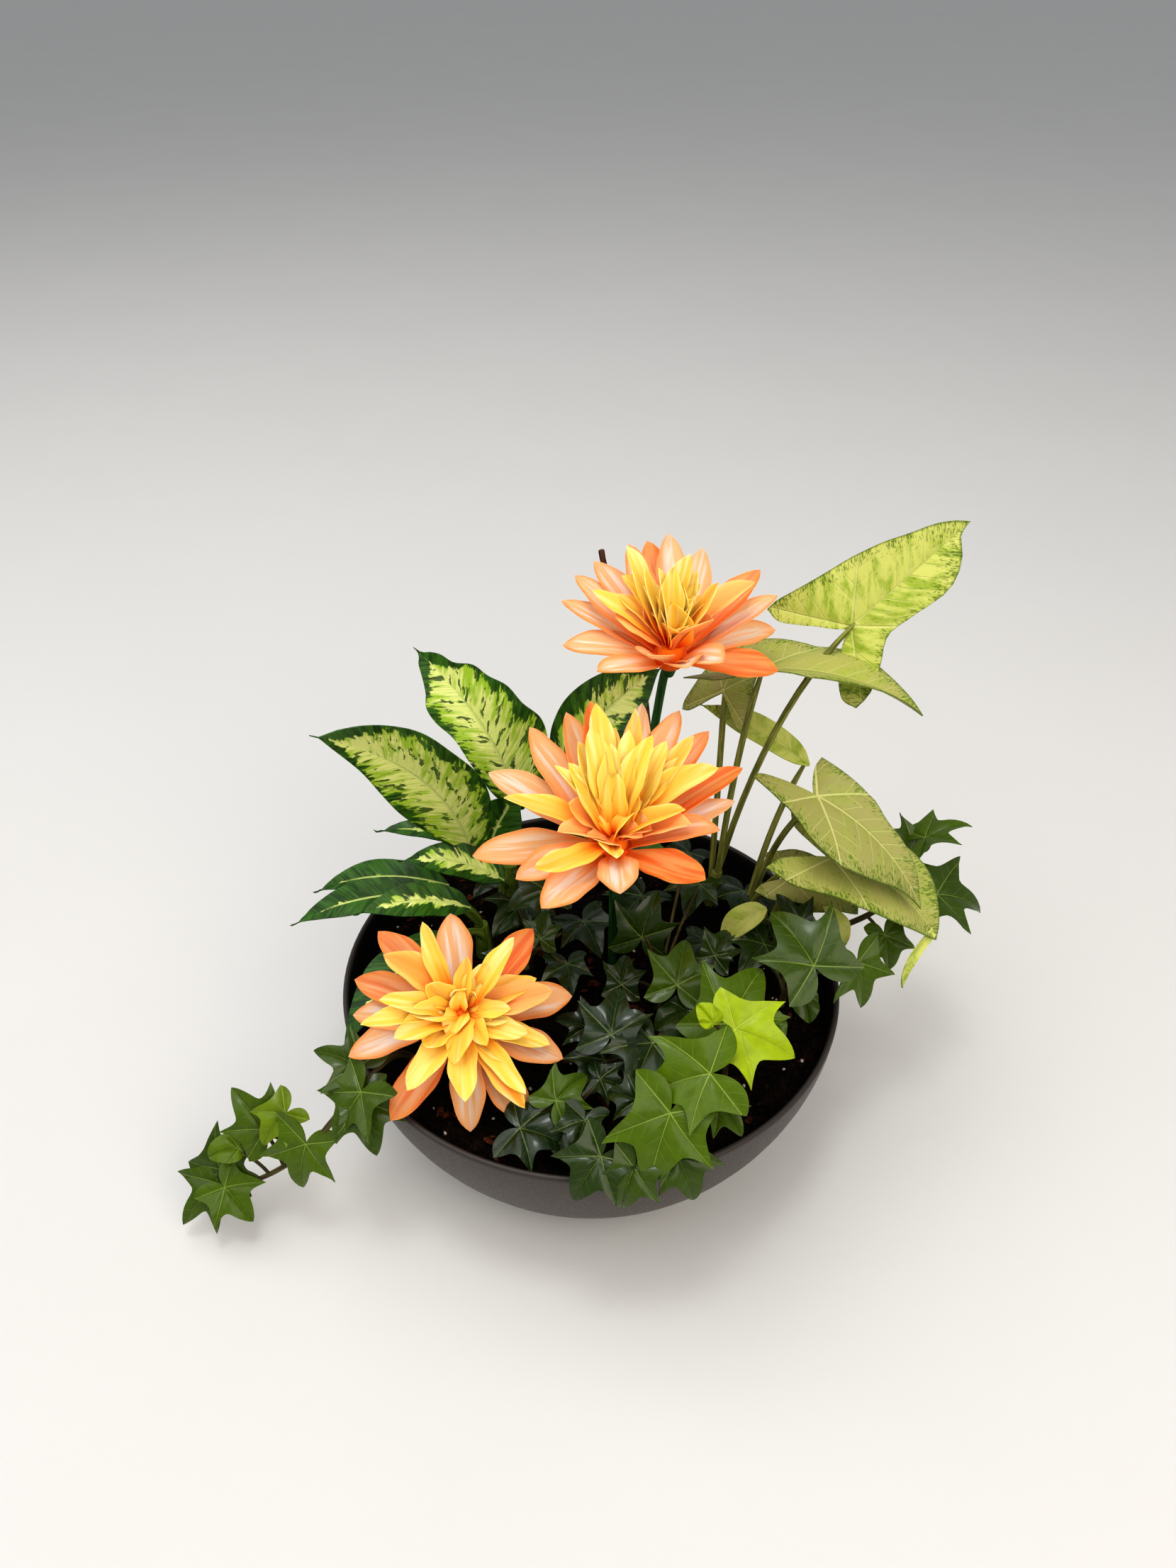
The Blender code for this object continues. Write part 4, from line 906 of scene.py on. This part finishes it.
        ((98, -16, 90), (84, 52, 100), (78, 26, 97), 0.1),
    ),
    "ivyFarRight": (
        [(110, 10, 70, 1.7), (110, 10, 88, 1.7), (122, 12, 106, 1.6), (144, 16, 117, 1.5),
         (162, 24, 126, 1.3)],
        ((160, 23, 125), (177, 18, 129), (208, 22, 112), (0.35, -0.3, 0.88), "deep", 0.3, 3),
        ((162, 24, 126), (172, 38, 150), (198, 42, 158), (0, 0.2, 0.97), "deep", 0.4),
        ((156, 21, 123), (167, 40, 140), (145, 42, 150), (0, -0.5, 0.85), "broad", 0.3),
        ((142, 16, 116), (149, 2, 116), (153, -6, 96), (0.3, -0.8, 0.5), "broad", 0.4),
    ),
}
leafGrids = {"tail": (6, 20), "lance": (16, 60), "ivy": (72, 8), "arrow": (84, 10)}  # columns and rows
families = {  # radius of the stalks, sides of the stem, length of the drip tips
    "dieffenbachia": {"stalk": 2.0, "sides": 16, "drip": 4.0},
    "syngonium": {"stalk": 1.7, "sides": 16, "drip": 2.0},
    "ivy": {"stalk": 0.9, "sides": 8},
}


def familyOf(name):
    return next(family for family in families if name.startswith(family))


def ivyLeaf(rng, start, joint, tip, *rest):
    # a row like those of the other kinds; a small dark leaf, dark partly as painted shade, has only its tone
    # in the rest
    if len(rest) == 1:
        rest = ((rng.uniform(-0.2, 0.2), -0.35, 0.9), "broad", *rest)
    face, outline, tone, bend = (*rest, 2)[:4]
    return ("ivy", start, joint, tip, face, outline, bend, 6, 0, tone)


def makePlant(name, stem, leaves):
    family = familyOf(name)
    habit = families[family]
    bm = startPiece()
    rng = random.Random(name)
    radii = [point[3] for point in stem]
    addTube(bm, [point[:3] for point in stem], radii, rng.uniform(0, 90), habit["sides"])
    if family == "ivy":
        leaves = [ivyLeaf(rng, *leaf) for leaf in leaves]
    for number, (kind, start, joint, tip, face, width, bend, fold, wave, tone) in enumerate(leaves):
        seed = rng.uniform(0, 900)
        own = (name, number)
        if kind == "tail":
            joint = rib.point(0.92, 0.0, 0.0)
        rib = Midrib(joint, tip, face, bend)
        if kind == "tail":
            addStrip(bm, rib, (tailWidth, tailWidth), width, fold, wave, 1.0, seed, tone, leafGrids["tail"])
            continue
        if kind == "lance":
            widths = ownWidths.get(own, (lanceWidth, lanceWidth))
            grid = leafGrids["lance"]
            addStrip(bm, rib, widths, width, fold, wave, 2.2, seed, tone, grid, habit["drip"])
        elif kind == "ivy":
            rib = Midrib(joint, rib.joint.lerp(rib.tip, 0.93), face, bend)
            sides = varied(ivyEdges[width], rng, 0.12)
            wave = rng.uniform(0.7, 1.6)
            ripples = rng.uniform(1.2, 2.4)
            droop = rng.uniform(0.6, 2.8)
            addFan(bm, rib, sides, veinAngles["ivy"], 0.95, fold, wave, ripples, ivyThickness, seed, tone,
                   leafGrids["ivy"], 1.4, droop)
        else:
            if own in ownEdges:
                sides = [[hundredths(run) for run in runs] for runs in ownEdges[own]]
                width = 1.0
            else:
                sides = varied(arrowEdges[kind], rng, 0.08)
            addFan(bm, rib, sides, veinAngles["arrow"], width, fold, wave, 1.6, bladeThickness, seed, tone,
                   leafGrids["arrow"], 1.6, 1.0)
        path = stalkPath(start, rib)
        addTube(bm, path, [habit["stalk"]] * (len(path) - 1) + [habit["stalk"] * 0.6], seed, 8, 12)
    finishPiece(bm, name + "Leaves", [family + "Leaf", family + "Stem"], [name])


for plantName, (stem, *leaves) in plants.items():
    makePlant(plantName, stem, leaves)
print("leafy stems ready:", len(plants))


# Blooms: a petal is (turn, rise, length, half width, tone), turn and rise in degrees about the bloom's axis

blooms = {
    "middleBloom": {
        "centre": (11, -2, 179), "lean": 15,
        "stem": [(11, 6, 70), (11, 6, 92), (11, 4, 130), (11, 0, 162)],
        "outer": [
            (-172, 4, 67, 9, 0.55), (156, 22, 70, 9, 0.2), (131, 28, 70, 8.5, 0.35), (114, 35, 69, 8, 0.4),
            (101, 34, 71, 7.5, 0.95), (77, 34, 71, 7.5, 0.1), (60, 33, 73, 8, 0.5), (45, 29, 72, 8, 0.8),
            (27, 19, 72, 8.5, 0.95), (14, 18, 61, 7.5, 0.15), (-13, 35, 57, 8, 0.75),
            (-43, 28, 60, 9, 0.95), (-88, 33, 48, 9.5, 0.3), (-126, 22, 60, 9, 0.45),
            (-147, 17, 56, 8, 0.5),
        ],
        "inner": [
            (175, 28, 58, 6.5, 0.3), (-138, 25, 54, 6, 0.35), (-89, 37, 27, 5.5, 0.2),
            (-15, 40, 44, 6.5, 0.8), (-3, 43, 42, 5.5, 0.4), (23, 31, 60, 6, 0.2), (41, 39, 62, 5.5, 0.3),
            (39, 38, 52, 4.5, 0.2), (77, 50, 64, 4.5, 0.3), (101, 47, 66, 6.5, 0.1), (90, 46, 54, 3, 0),
            (113, 59, 58, 6.5, 0), (123, 52, 52, 6.5, 0.1), (58, 57, 56, 6.5, 0), (52, 47, 54, 6, 0),
            (79, 56, 55, 5.5, 0), (95, 63, 50, 6, 0.1), (152, 52, 50, 5, 0), (138, 53, 46, 6, 0),
            (123, 60, 36, 6, 0.1), (97, 66, 38, 6, 0.1), (47, 40, 43, 5, 0.1), (48, 40, 38, 4.5, 0.1),
            (69, 50, 32, 6, 0), (47, 47, 28, 6, 0), (175, 49, 34, 6, 0.7), (122, 56, 22, 5, 0.1),
            (87, 58, 27, 4, 0.3), (27, 64, 22, 5, 0.2), (-163, 37, 34, 7, 0.75), (-146, 47, 22, 6, 0.8),
            (-22, 52, 26, 6.5, 0.9), (-36, 49, 22, 4, 0.8), (149, 52, 30, 5, 0.5),
        ],
    },
    "topBloom": {
        "centre": (38, 62, 244), "lean": 14,
        "stem": [(24, 62, 70), (24, 62, 92), (27, 63, 150), (35, 65, 226)],
        "outer": [
            (180, 8, 52, 8.5, 0.5), (157, 19, 60, 8, 0.55), (144, 25, 62, 7.5, 0.4), (134, 30, 61, 7, 0.3),
            (116, 40, 59, 7.5, 0.35), (103, 37, 60, 7.5, 0.95), (91, 41, 61, 8, 0.3), (69, 41, 57, 8, 0.2),
            (36, 29, 61, 8, 0.85), (21, 25, 60, 8, 0.3), (12, 10, 53, 7.5, 0.6), (-18, 9, 53, 8.5, 0.9),
            (-56, 40, 48, 8.5, 0.3), (-80, 46, 42, 9, 0.35), (-112, 47, 42, 9, 0.3),
            (-144, 26, 48, 8.5, 0.45),
        ],
        "inner": [
            (134, 59, 56, 6.5, 0.1), (141, 49, 44, 5.5, 0), (161, 34, 48, 4.5, 0.2), (146, 66, 46, 6, 0),
            (131, 75, 46, 6.5, 0), (96, 78, 46, 6.5, 0), (62, 74, 52, 5.5, 0.1), (36, 72, 46, 5, 0),
            (27, 70, 40, 5, 0), (16, 61, 38, 4.5, 0.1), (151, 65, 38, 6, 0), (115, 77, 40, 6, 0),
            (65, 77, 38, 5.5, 0), (152, 73, 32, 6, 0.1), (12, 77, 34, 6, 0), (100, 86, 30, 6, 0.1),
            (9, 64, 46, 5.5, 0.4), (151, 37, 37, 5.5, 0.3), (170, 69, 26, 8, 0.95), (-13, 50, 30, 8, 0.9),
            (149, 48, 26, 4, 0.7), (167, 36, 34, 6.5, 0.7), (20, 39, 52, 6.5, 0.7), (-52, 66, 24, 6, 0.3),
            (-118, 68, 24, 6, 0.3),
        ],
    },
    "frontBloom": {
        "centre": (-60, -58, 123), "lean": 25,
        "stem": [(-60, -50, 70), (-60, -50, 88), (-60, -53, 100), (-60, -56, 110)],
        "outer": [
            (138, 19, 56, 8, 0.85), (99, 10, 50, 8.5, 0.55), (50, 14, 52, 8, 0.9), (10, 5, 52, 9, 0.45),
            (-23, 0, 51, 8.5, 0.3), (-57, -7, 57, 8.5, 0.35), (-84, -9, 52, 8, 0.3),
            (-123, -3, 56, 8.5, 0.85), (-158, 4, 54, 8, 0.4), (-178, 9, 50, 8, 0.3),
            (164, 13, 53, 7.5, 0.85),
        ],
        "inner": [
            (117, 50, 52, 4.5, 0), (45, 42, 48, 5.5, 0.1), (19, 17, 38, 6.5, 0.1), (6, 21, 46, 7, 0.8),
            (-20, 3, 44, 5.5, 0.1), (-51, 2, 48, 4.5, 0.1), (-55, 0, 53, 5, 0.5), (-83, 17, 46, 6, 0),
            (-116, 22, 48, 6.5, 0.1), (-143, 40, 42, 6, 0.2), (-159, 38, 54, 5, 0.1),
            (-174, 46, 46, 5.5, 0.1), (153, 45, 50, 6.5, 0.6), (-159, 49, 32, 6, 0.1),
            (159, 53, 28, 6, 0.2), (179, 56, 18, 5, 0.1), (-118, 37, 34, 6, 0.2), (-106, 43, 20, 5.5, 0.1),
            (-54, 24, 24, 4.5, 0), (-91, 31, 32, 6, 0.3), (-36, 13, 20, 4, 0), (-7, 32, 28, 4, 0),
            (-17, 28, 26, 4, 0), (-23, 18, 36, 5, 0.2), (50, 45, 30, 5.5, 0), (78, 49, 30, 4, 0.3),
            (110, 66, 18, 5.5, 0.2), (37, 53, 16, 4, 0.1), (82, 66, 16, 4, 0.1), (-47, 4, 32, 4.5, 0.1),
        ],
    },
}


def bloomAxes(lean):
    turn = math.radians(lean)
    up = Vector((0.0, -math.sin(turn), math.cos(turn)))
    right = Vector((1.0, 0.0, 0.0))
    return right, up.cross(right), up


def petalRib(bloom, turn, rise, length, height, start, bend):
    right, back, up = bloomAxes(bloom["lean"])
    flat = right * math.cos(math.radians(turn)) + back * math.sin(math.radians(turn))
    along = flat * math.cos(math.radians(rise)) + up * math.sin(math.radians(rise))
    face = up * math.cos(math.radians(rise)) - flat * math.sin(math.radians(rise))
    root = Vector(bloom["centre"]) + up * height + flat * start
    return Midrib(root, root + along * (length - start), face, bend, face)


def addPetal(bm, rib, halfWidth, fold, rng, tone, rows, curl=1.0):
    # a cupped petal with a crease in the middle, a hooked tip and uneven edges
    seed = rng.uniform(0, 900)
    lean = rng.uniform(-0.35, 0.35) * curl
    cup = rng.uniform(0.0, 0.22) * halfWidth
    crease = rng.uniform(0.3, 0.8)
    twist = math.radians(rng.uniform(-16, 16)) * curl
    hook = rng.uniform(-1.6, 3.2) * curl
    uneven = rng.uniform(0, math.tau)

    def place(u, v):
        share = u * 2 - 1
        width = halfWidth * smoothValue(petalWidth, v)
        width *= 1 + 0.05 * curl * math.sin(v * 17 + uneven + share) * min(1.0, v * 2)
        across = share * width + lean * halfWidth * math.sin(v * math.pi)
        middle = math.sin(v * math.pi)
        raised = cup * (share * share - 0.4) * middle - crease * math.exp(-(share / 0.16) ** 2) * middle
        raised += across * math.sin(twist * v) + hook * max(0.0, v - 0.72) ** 2 * 10
        spot = rib.point(v, across, raised, fold)
        return spot, (v * rib.length, across, seed), (v, share, tone)

    thicken(bm, makeSheet(bm, 12, rows, place), petalThickness)


def addCore(bm, bloom, rings):
    # a turned core along the bloom's axis; rings are (height, radius)
    right, back, up = bloomAxes(bloom["lean"])
    centre = Vector(bloom["centre"])

    def place(u, v):
        step = v * (len(rings) - 1)
        i = min(int(step + 1e-6), len(rings) - 2)
        share = step - i
        height, radius = [low + (high - low) * share for low, high in zip(rings[i], rings[i + 1])]
        turn = math.tau * u
        spot = centre + right * math.cos(turn) * radius + back * math.sin(turn) * radius + up * height
        return spot, (height, radius * turn, 3.0), (0.1, 0.0, 0.5)

    makeSheet(bm, 20, (len(rings) - 1) * 2, place)


def makeBloom(name, bloom):
    up = bloomAxes(bloom["lean"])[2]
    centre = Vector(bloom["centre"])
    rng = random.Random(name)

    stem = startPiece()
    path = [Vector(p) for p in bloom["stem"]] + [centre - up * 8.0]
    addTube(stem, path, [2.2] * len(path), 5.0, 12, slot=0)
    addCore(stem, bloom, [(-12.0, 0.0), (-12.0, 2.6), (-8.0, 3.6), (-3.3, 5.4), (-3.3, 0.0)])
    finishPiece(stem, name + "Wire", ["bloomWire"], [name + "Stem"])

    outer = startPiece()
    addCore(outer, bloom, [(-3.0, 0.0), (-3.0, 7.0), (0.0, 8.2), (2.0, 8.0), (2.0, 0.0)])
    for number, (turn, rise, length, width, tone) in enumerate(bloom["outer"]):
        low = number % 2
        rib = petalRib(bloom, turn, rise, length, -1.2 - 0.9 * low, 4.6, 2.5 - 1.2 * low)
        addPetal(outer, rib, width, rng.uniform(8, 20), rng, tone, 24)
    finishPiece(outer, name + "OuterFlower", ["outerPetal"], [name + "OuterPetals"])

    inner = startPiece()
    addCore(inner, bloom, [(2.3, 0.0), (2.3, 6.2), (5.0, 6.0), (8.0, 4.6), (8.0, 0.0)])
    for turn, rise, length, width, tone in bloom["inner"]:
        rib = petalRib(bloom, turn, rise, length, 4.0, 1.5, rng.uniform(0.5, 5.0))
        addPetal(inner, rib, width * 1.12, rng.uniform(14, 38), rng, tone, 22, 1.7)
    finishPiece(inner, name + "InnerFlower", ["innerPetal"], [name + "InnerPetals"])


for bloomName, bloom in blooms.items():
    makeBloom(bloomName, bloom)
print("blooms ready:", len(blooms))


# The dry shoot behind the top bloom

driedShoot = {
    "path": [(30, 106, 70), (30, 106, 92), (28, 104, 182), (17, 104, 219), (5, 104, 279)],
    "radii": [3.6, 3.8, 4.2, 2.8, 1.6],
    "lump": 0.7,
}


def makeDriedShoot():
    bm = startPiece()
    addTube(bm, driedShoot["path"], driedShoot["radii"], 2.0, 14, 60, slot=0)
    for vert in bm.verts:
        spot = vert.co / mm * 0.22
        push = [noise.noise(spot + Vector((31.7 * axis, 5.3, 0.0))) for axis in (1, 2, 3)]
        vert.co += Vector(push) * driedShoot["lump"] * mm
    finishPiece(bm, "dryShoot", ["driedStem"], ["driedShoot"])


makeDriedShoot()


# The bowl, turned from its profile

bowlShape = {"rim": 127.0, "height": 95.0, "foot": 62.0, "wall": 3.0, "floor": 3.6, "power": 1.68,
             "steps": 128}


def wallRadius(height):
    size = bowlShape
    power = size["power"]
    share = max(0.0, 1.0 - height / size["height"])
    return size["foot"] + (size["rim"] - size["foot"]) * (1.0 - share**power) ** (1.0 / power)


def makeBowl():
    size = bowlShape
    lipCentre = size["rim"] - size["wall"] / 2
    profile = [(0.0, 0.0), (40.0, 0.0), (size["foot"] - 3.0, 0.0), (size["foot"] - 0.6, 0.4)]
    profile += [(wallRadius(h), h) for h in (1.2, 3, 6, 10, 15, 21, 28, 36, 45, 54, 63, 72, 80, 87, 92)]
    turns = [math.pi * i / 8 for i in range(9)]
    lip = [(lipCentre + 1.5 * math.cos(t), size["height"] - 1.5 + 1.5 * math.sin(t)) for t in turns]
    inside = [(wallRadius(h) - size["wall"], h) for h in (90, 84, 76, 66, 56, 46, 36, 27, 19, 12, 8)]
    inside += [(size["foot"] - 6.0, size["floor"]), (30.0, size["floor"]), (0.0, size["floor"])]
    bm = startPiece()
    wall = bm.verts.layers.float_vector.new("bowlPaintedShade")
    verts = []
    for number, (radius, height) in enumerate(profile + lip + inside):
        vert = bm.verts.new((radius * mm, 0.0, height * mm))
        # marks the inside and the lip, where the bowl material paints shade
        onLip = len(profile) <= number < len(profile) + len(lip)
        inner = 1.0 if number >= len(profile) + 5 else 0.0
        vert[wall] = (inner, 1.0 if onLip else 0.0, 0.0)
        verts.append(vert)
    edges = [bm.edges.new(pair) for pair in zip(verts, verts[1:])]
    turn = {"axis": (0, 0, 1), "cent": (0, 0, 0), "angle": math.tau, "use_merge": True}
    bmesh.ops.spin(bm, geom=verts + edges, steps=size["steps"], **turn)
    bmesh.ops.remove_doubles(bm, verts=bm.verts[:], dist=2e-6)
    bmesh.ops.recalc_face_normals(bm, faces=bm.faces[:])
    for face in bm.faces:
        face.smooth = True
    finishPiece(bm, "bowlShell", ["bowl"], ["bowl"])


makeBowl()
print("bowl ready")


# Soil, with bark chips, perlite and crumbs on it

soilShape = {"level": 82.0, "columns": 240, "rows": 120, "lump": 1.7, "seed": 11,
             "crumbs": 2200, "chips": 150, "perlite": 130}


def soilHeight(x, y):
    slow = math.sin(x * 0.11 + 1.3) * math.cos(y * 0.13 - 0.4) + 0.6 * math.sin(x * 0.23 - y * 0.19)
    spot = Vector((x, y, 0.0))
    rough = noise.fractal(spot * 0.09, 1.0, 2.1, 3) * 1.4 + noise.fractal(spot * 0.4, 0.8, 2.1, 2) * 0.6
    return soilShape["level"] + 1.6 * slow + rough * soilShape["lump"] * 0.7


def makeSoil():
    size = soilShape
    edge = wallRadius(size["level"]) - bowlShape["wall"] - 0.5
    bm = startPiece()

    def place(u, v):
        turn = math.tau * u
        if v <= 0.86:
            radius = edge * (v / 0.86)
            height = soilHeight(radius * math.cos(turn), radius * math.sin(turn))
            if radius > edge - 6:
                height -= (radius - edge + 6) * 0.25
        else:
            down = (v - 0.86) / 0.14
            sunk = bowlShape["floor"] + 0.5 - size["level"] + 3.0
            height = size["level"] - 3.0 + sunk * min(1.0, down * 1.6)
            radius = wallRadius(height) - bowlShape["wall"] - 0.8 - (1.2 if height < 30 else 0.0)
            if down * 1.6 > 1.0:
                radius = (bowlShape["foot"] - 8.0) * (1.0 - down) / (1.0 - 1 / 1.6)
        return (radius * math.cos(turn), radius * math.sin(turn), height), (0, 0, 0), (0, 0, 0)

    makeSheet(bm, size["columns"], size["rows"], place)
    finishPiece(bm, "soilBed", ["soil"], ["soil"])


def scatter(name, look, count, sizes, flatness, seed, rise):
    rng = random.Random(seed)
    reach = wallRadius(soilShape["level"]) - bowlShape["wall"] - 4.0
    bm = startPiece()
    for _ in range(count):
        turn = rng.uniform(0, math.tau)
        radius = reach * math.sqrt(rng.random())
        x = radius * math.cos(turn)
        y = radius * math.sin(turn)
        size = rng.uniform(*sizes)
        stretch = Vector([size * rng.uniform(*share) for share in ((0.7, 1.0), *flatness)])
        made = bmesh.ops.create_icosphere(bm, subdivisions=1, radius=1.0)["verts"]
        angle = rng.uniform(0, math.tau)
        tilt = rng.uniform(-0.5, 0.5)
        z = soilHeight(x, y) + stretch.z * rise
        for vert in made:
            spot = vert.co * rng.uniform(0.72, 1.15)
            spot = Vector((spot.x * stretch.x, spot.y * stretch.y, spot.z * stretch.z))
            spot = Vector((spot.x * math.cos(angle) - spot.y * math.sin(angle),
                           spot.x * math.sin(angle) + spot.y * math.cos(angle),
                           spot.z + spot.x * tilt * 0.4))
            vert.co = (spot + Vector((x, y, z))) * mm
    finishPiece(bm, name, [look], [])


makeSoil()
scatter("soilCrumbs", "crumb", soilShape["crumbs"], (0.7, 2.0), ((0.6, 1.0), (0.5, 0.9)), 21, 0.3)
scatter("barkChips", "bark", soilShape["chips"], (2.0, 5.5), ((0.25, 0.5), (0.15, 0.3)), 22, 0.7)
scatter("perliteGrains", "perlite", soilShape["perlite"], (0.6, 1.5), ((0.7, 1.0), (0.6, 1.0)), 23, 0.8)
print("soil ready")


# Stage, lights and camera

stageLook = {"floor": shade(214, 212, 210), "key": 23.5, "fill": 17.0, "glint": 3.5, "world": 0.4}


def makeFloorMaterial():
    made = startMaterial("floorPaper", 0.8, 0.1)
    place = objectPlace(made)
    colour = dimmed(stageLook["floor"], mottled(place, 5.0, 0.05))
    return finishMaterial(made, colour, grain(place, 60.0, 4.0), 0.001, 0.25)


def makeStage():
    bm = bmesh.new()
    bmesh.ops.create_grid(bm, x_segments=8, y_segments=8, size=12.0)
    bmesh.ops.translate(bm, verts=bm.verts[:], vec=(0, 0, -0.0004))
    mesh = bpy.data.meshes.new("floor")
    bm.to_mesh(mesh)
    bm.free()
    mesh.materials.append(makeFloorMaterial())
    floor = bpy.data.objects.new("floor", mesh)
    bpy.context.scene.collection.objects.link(floor)


def addLight(name, place, size, colour):
    light = bpy.data.lights.new(name, "AREA")
    light.size = size
    light.energy = stageLook[name]
    light.color = colour
    holder = bpy.data.objects.new(name, light)
    holder.location = place
    holder.rotation_euler = (Vector((0, 0, 0.1)) - Vector(place)).to_track_quat("-Z", "Y").to_euler()
    bpy.context.scene.collection.objects.link(holder)


def makeLights():
    addLight("key", (-0.75, -0.1, 1.75), 2.2, (1.0, 0.99, 0.97))
    addLight("fill", (0.8, -1.2, 1.3), 1.4, (1.0, 0.92, 0.8))
    addLight("glint", (-0.1, -0.25, 1.6), 0.3, (0.95, 0.98, 1.0))
    world = bpy.data.worlds.new("studio")
    world.use_nodes = True
    back = world.node_tree.nodes["Background"]
    back.inputs["Color"].default_value = (0.94, 0.97, 1.0, 1.0)
    back.inputs["Strength"].default_value = stageLook["world"]
    bpy.context.scene.world = world


def makeCamera():
    lens = bpy.data.cameras.new("camera")
    lens.lens = 27.0
    lens.sensor_width = 36.0
    camera = bpy.data.objects.new("camera", lens)
    camera.location = (-0.0016, -0.4266, 0.5399)
    camera.rotation_euler = (math.radians(90 - 37.38), 0.0, 0.0)
    bpy.context.scene.collection.objects.link(camera)
    bpy.context.scene.camera = camera


makeStage()
makeLights()
makeCamera()
bpy.context.scene.view_settings.view_transform = "Standard"
bpy.context.scene.view_settings.look = "Medium High Contrast"

print("pieces placed")
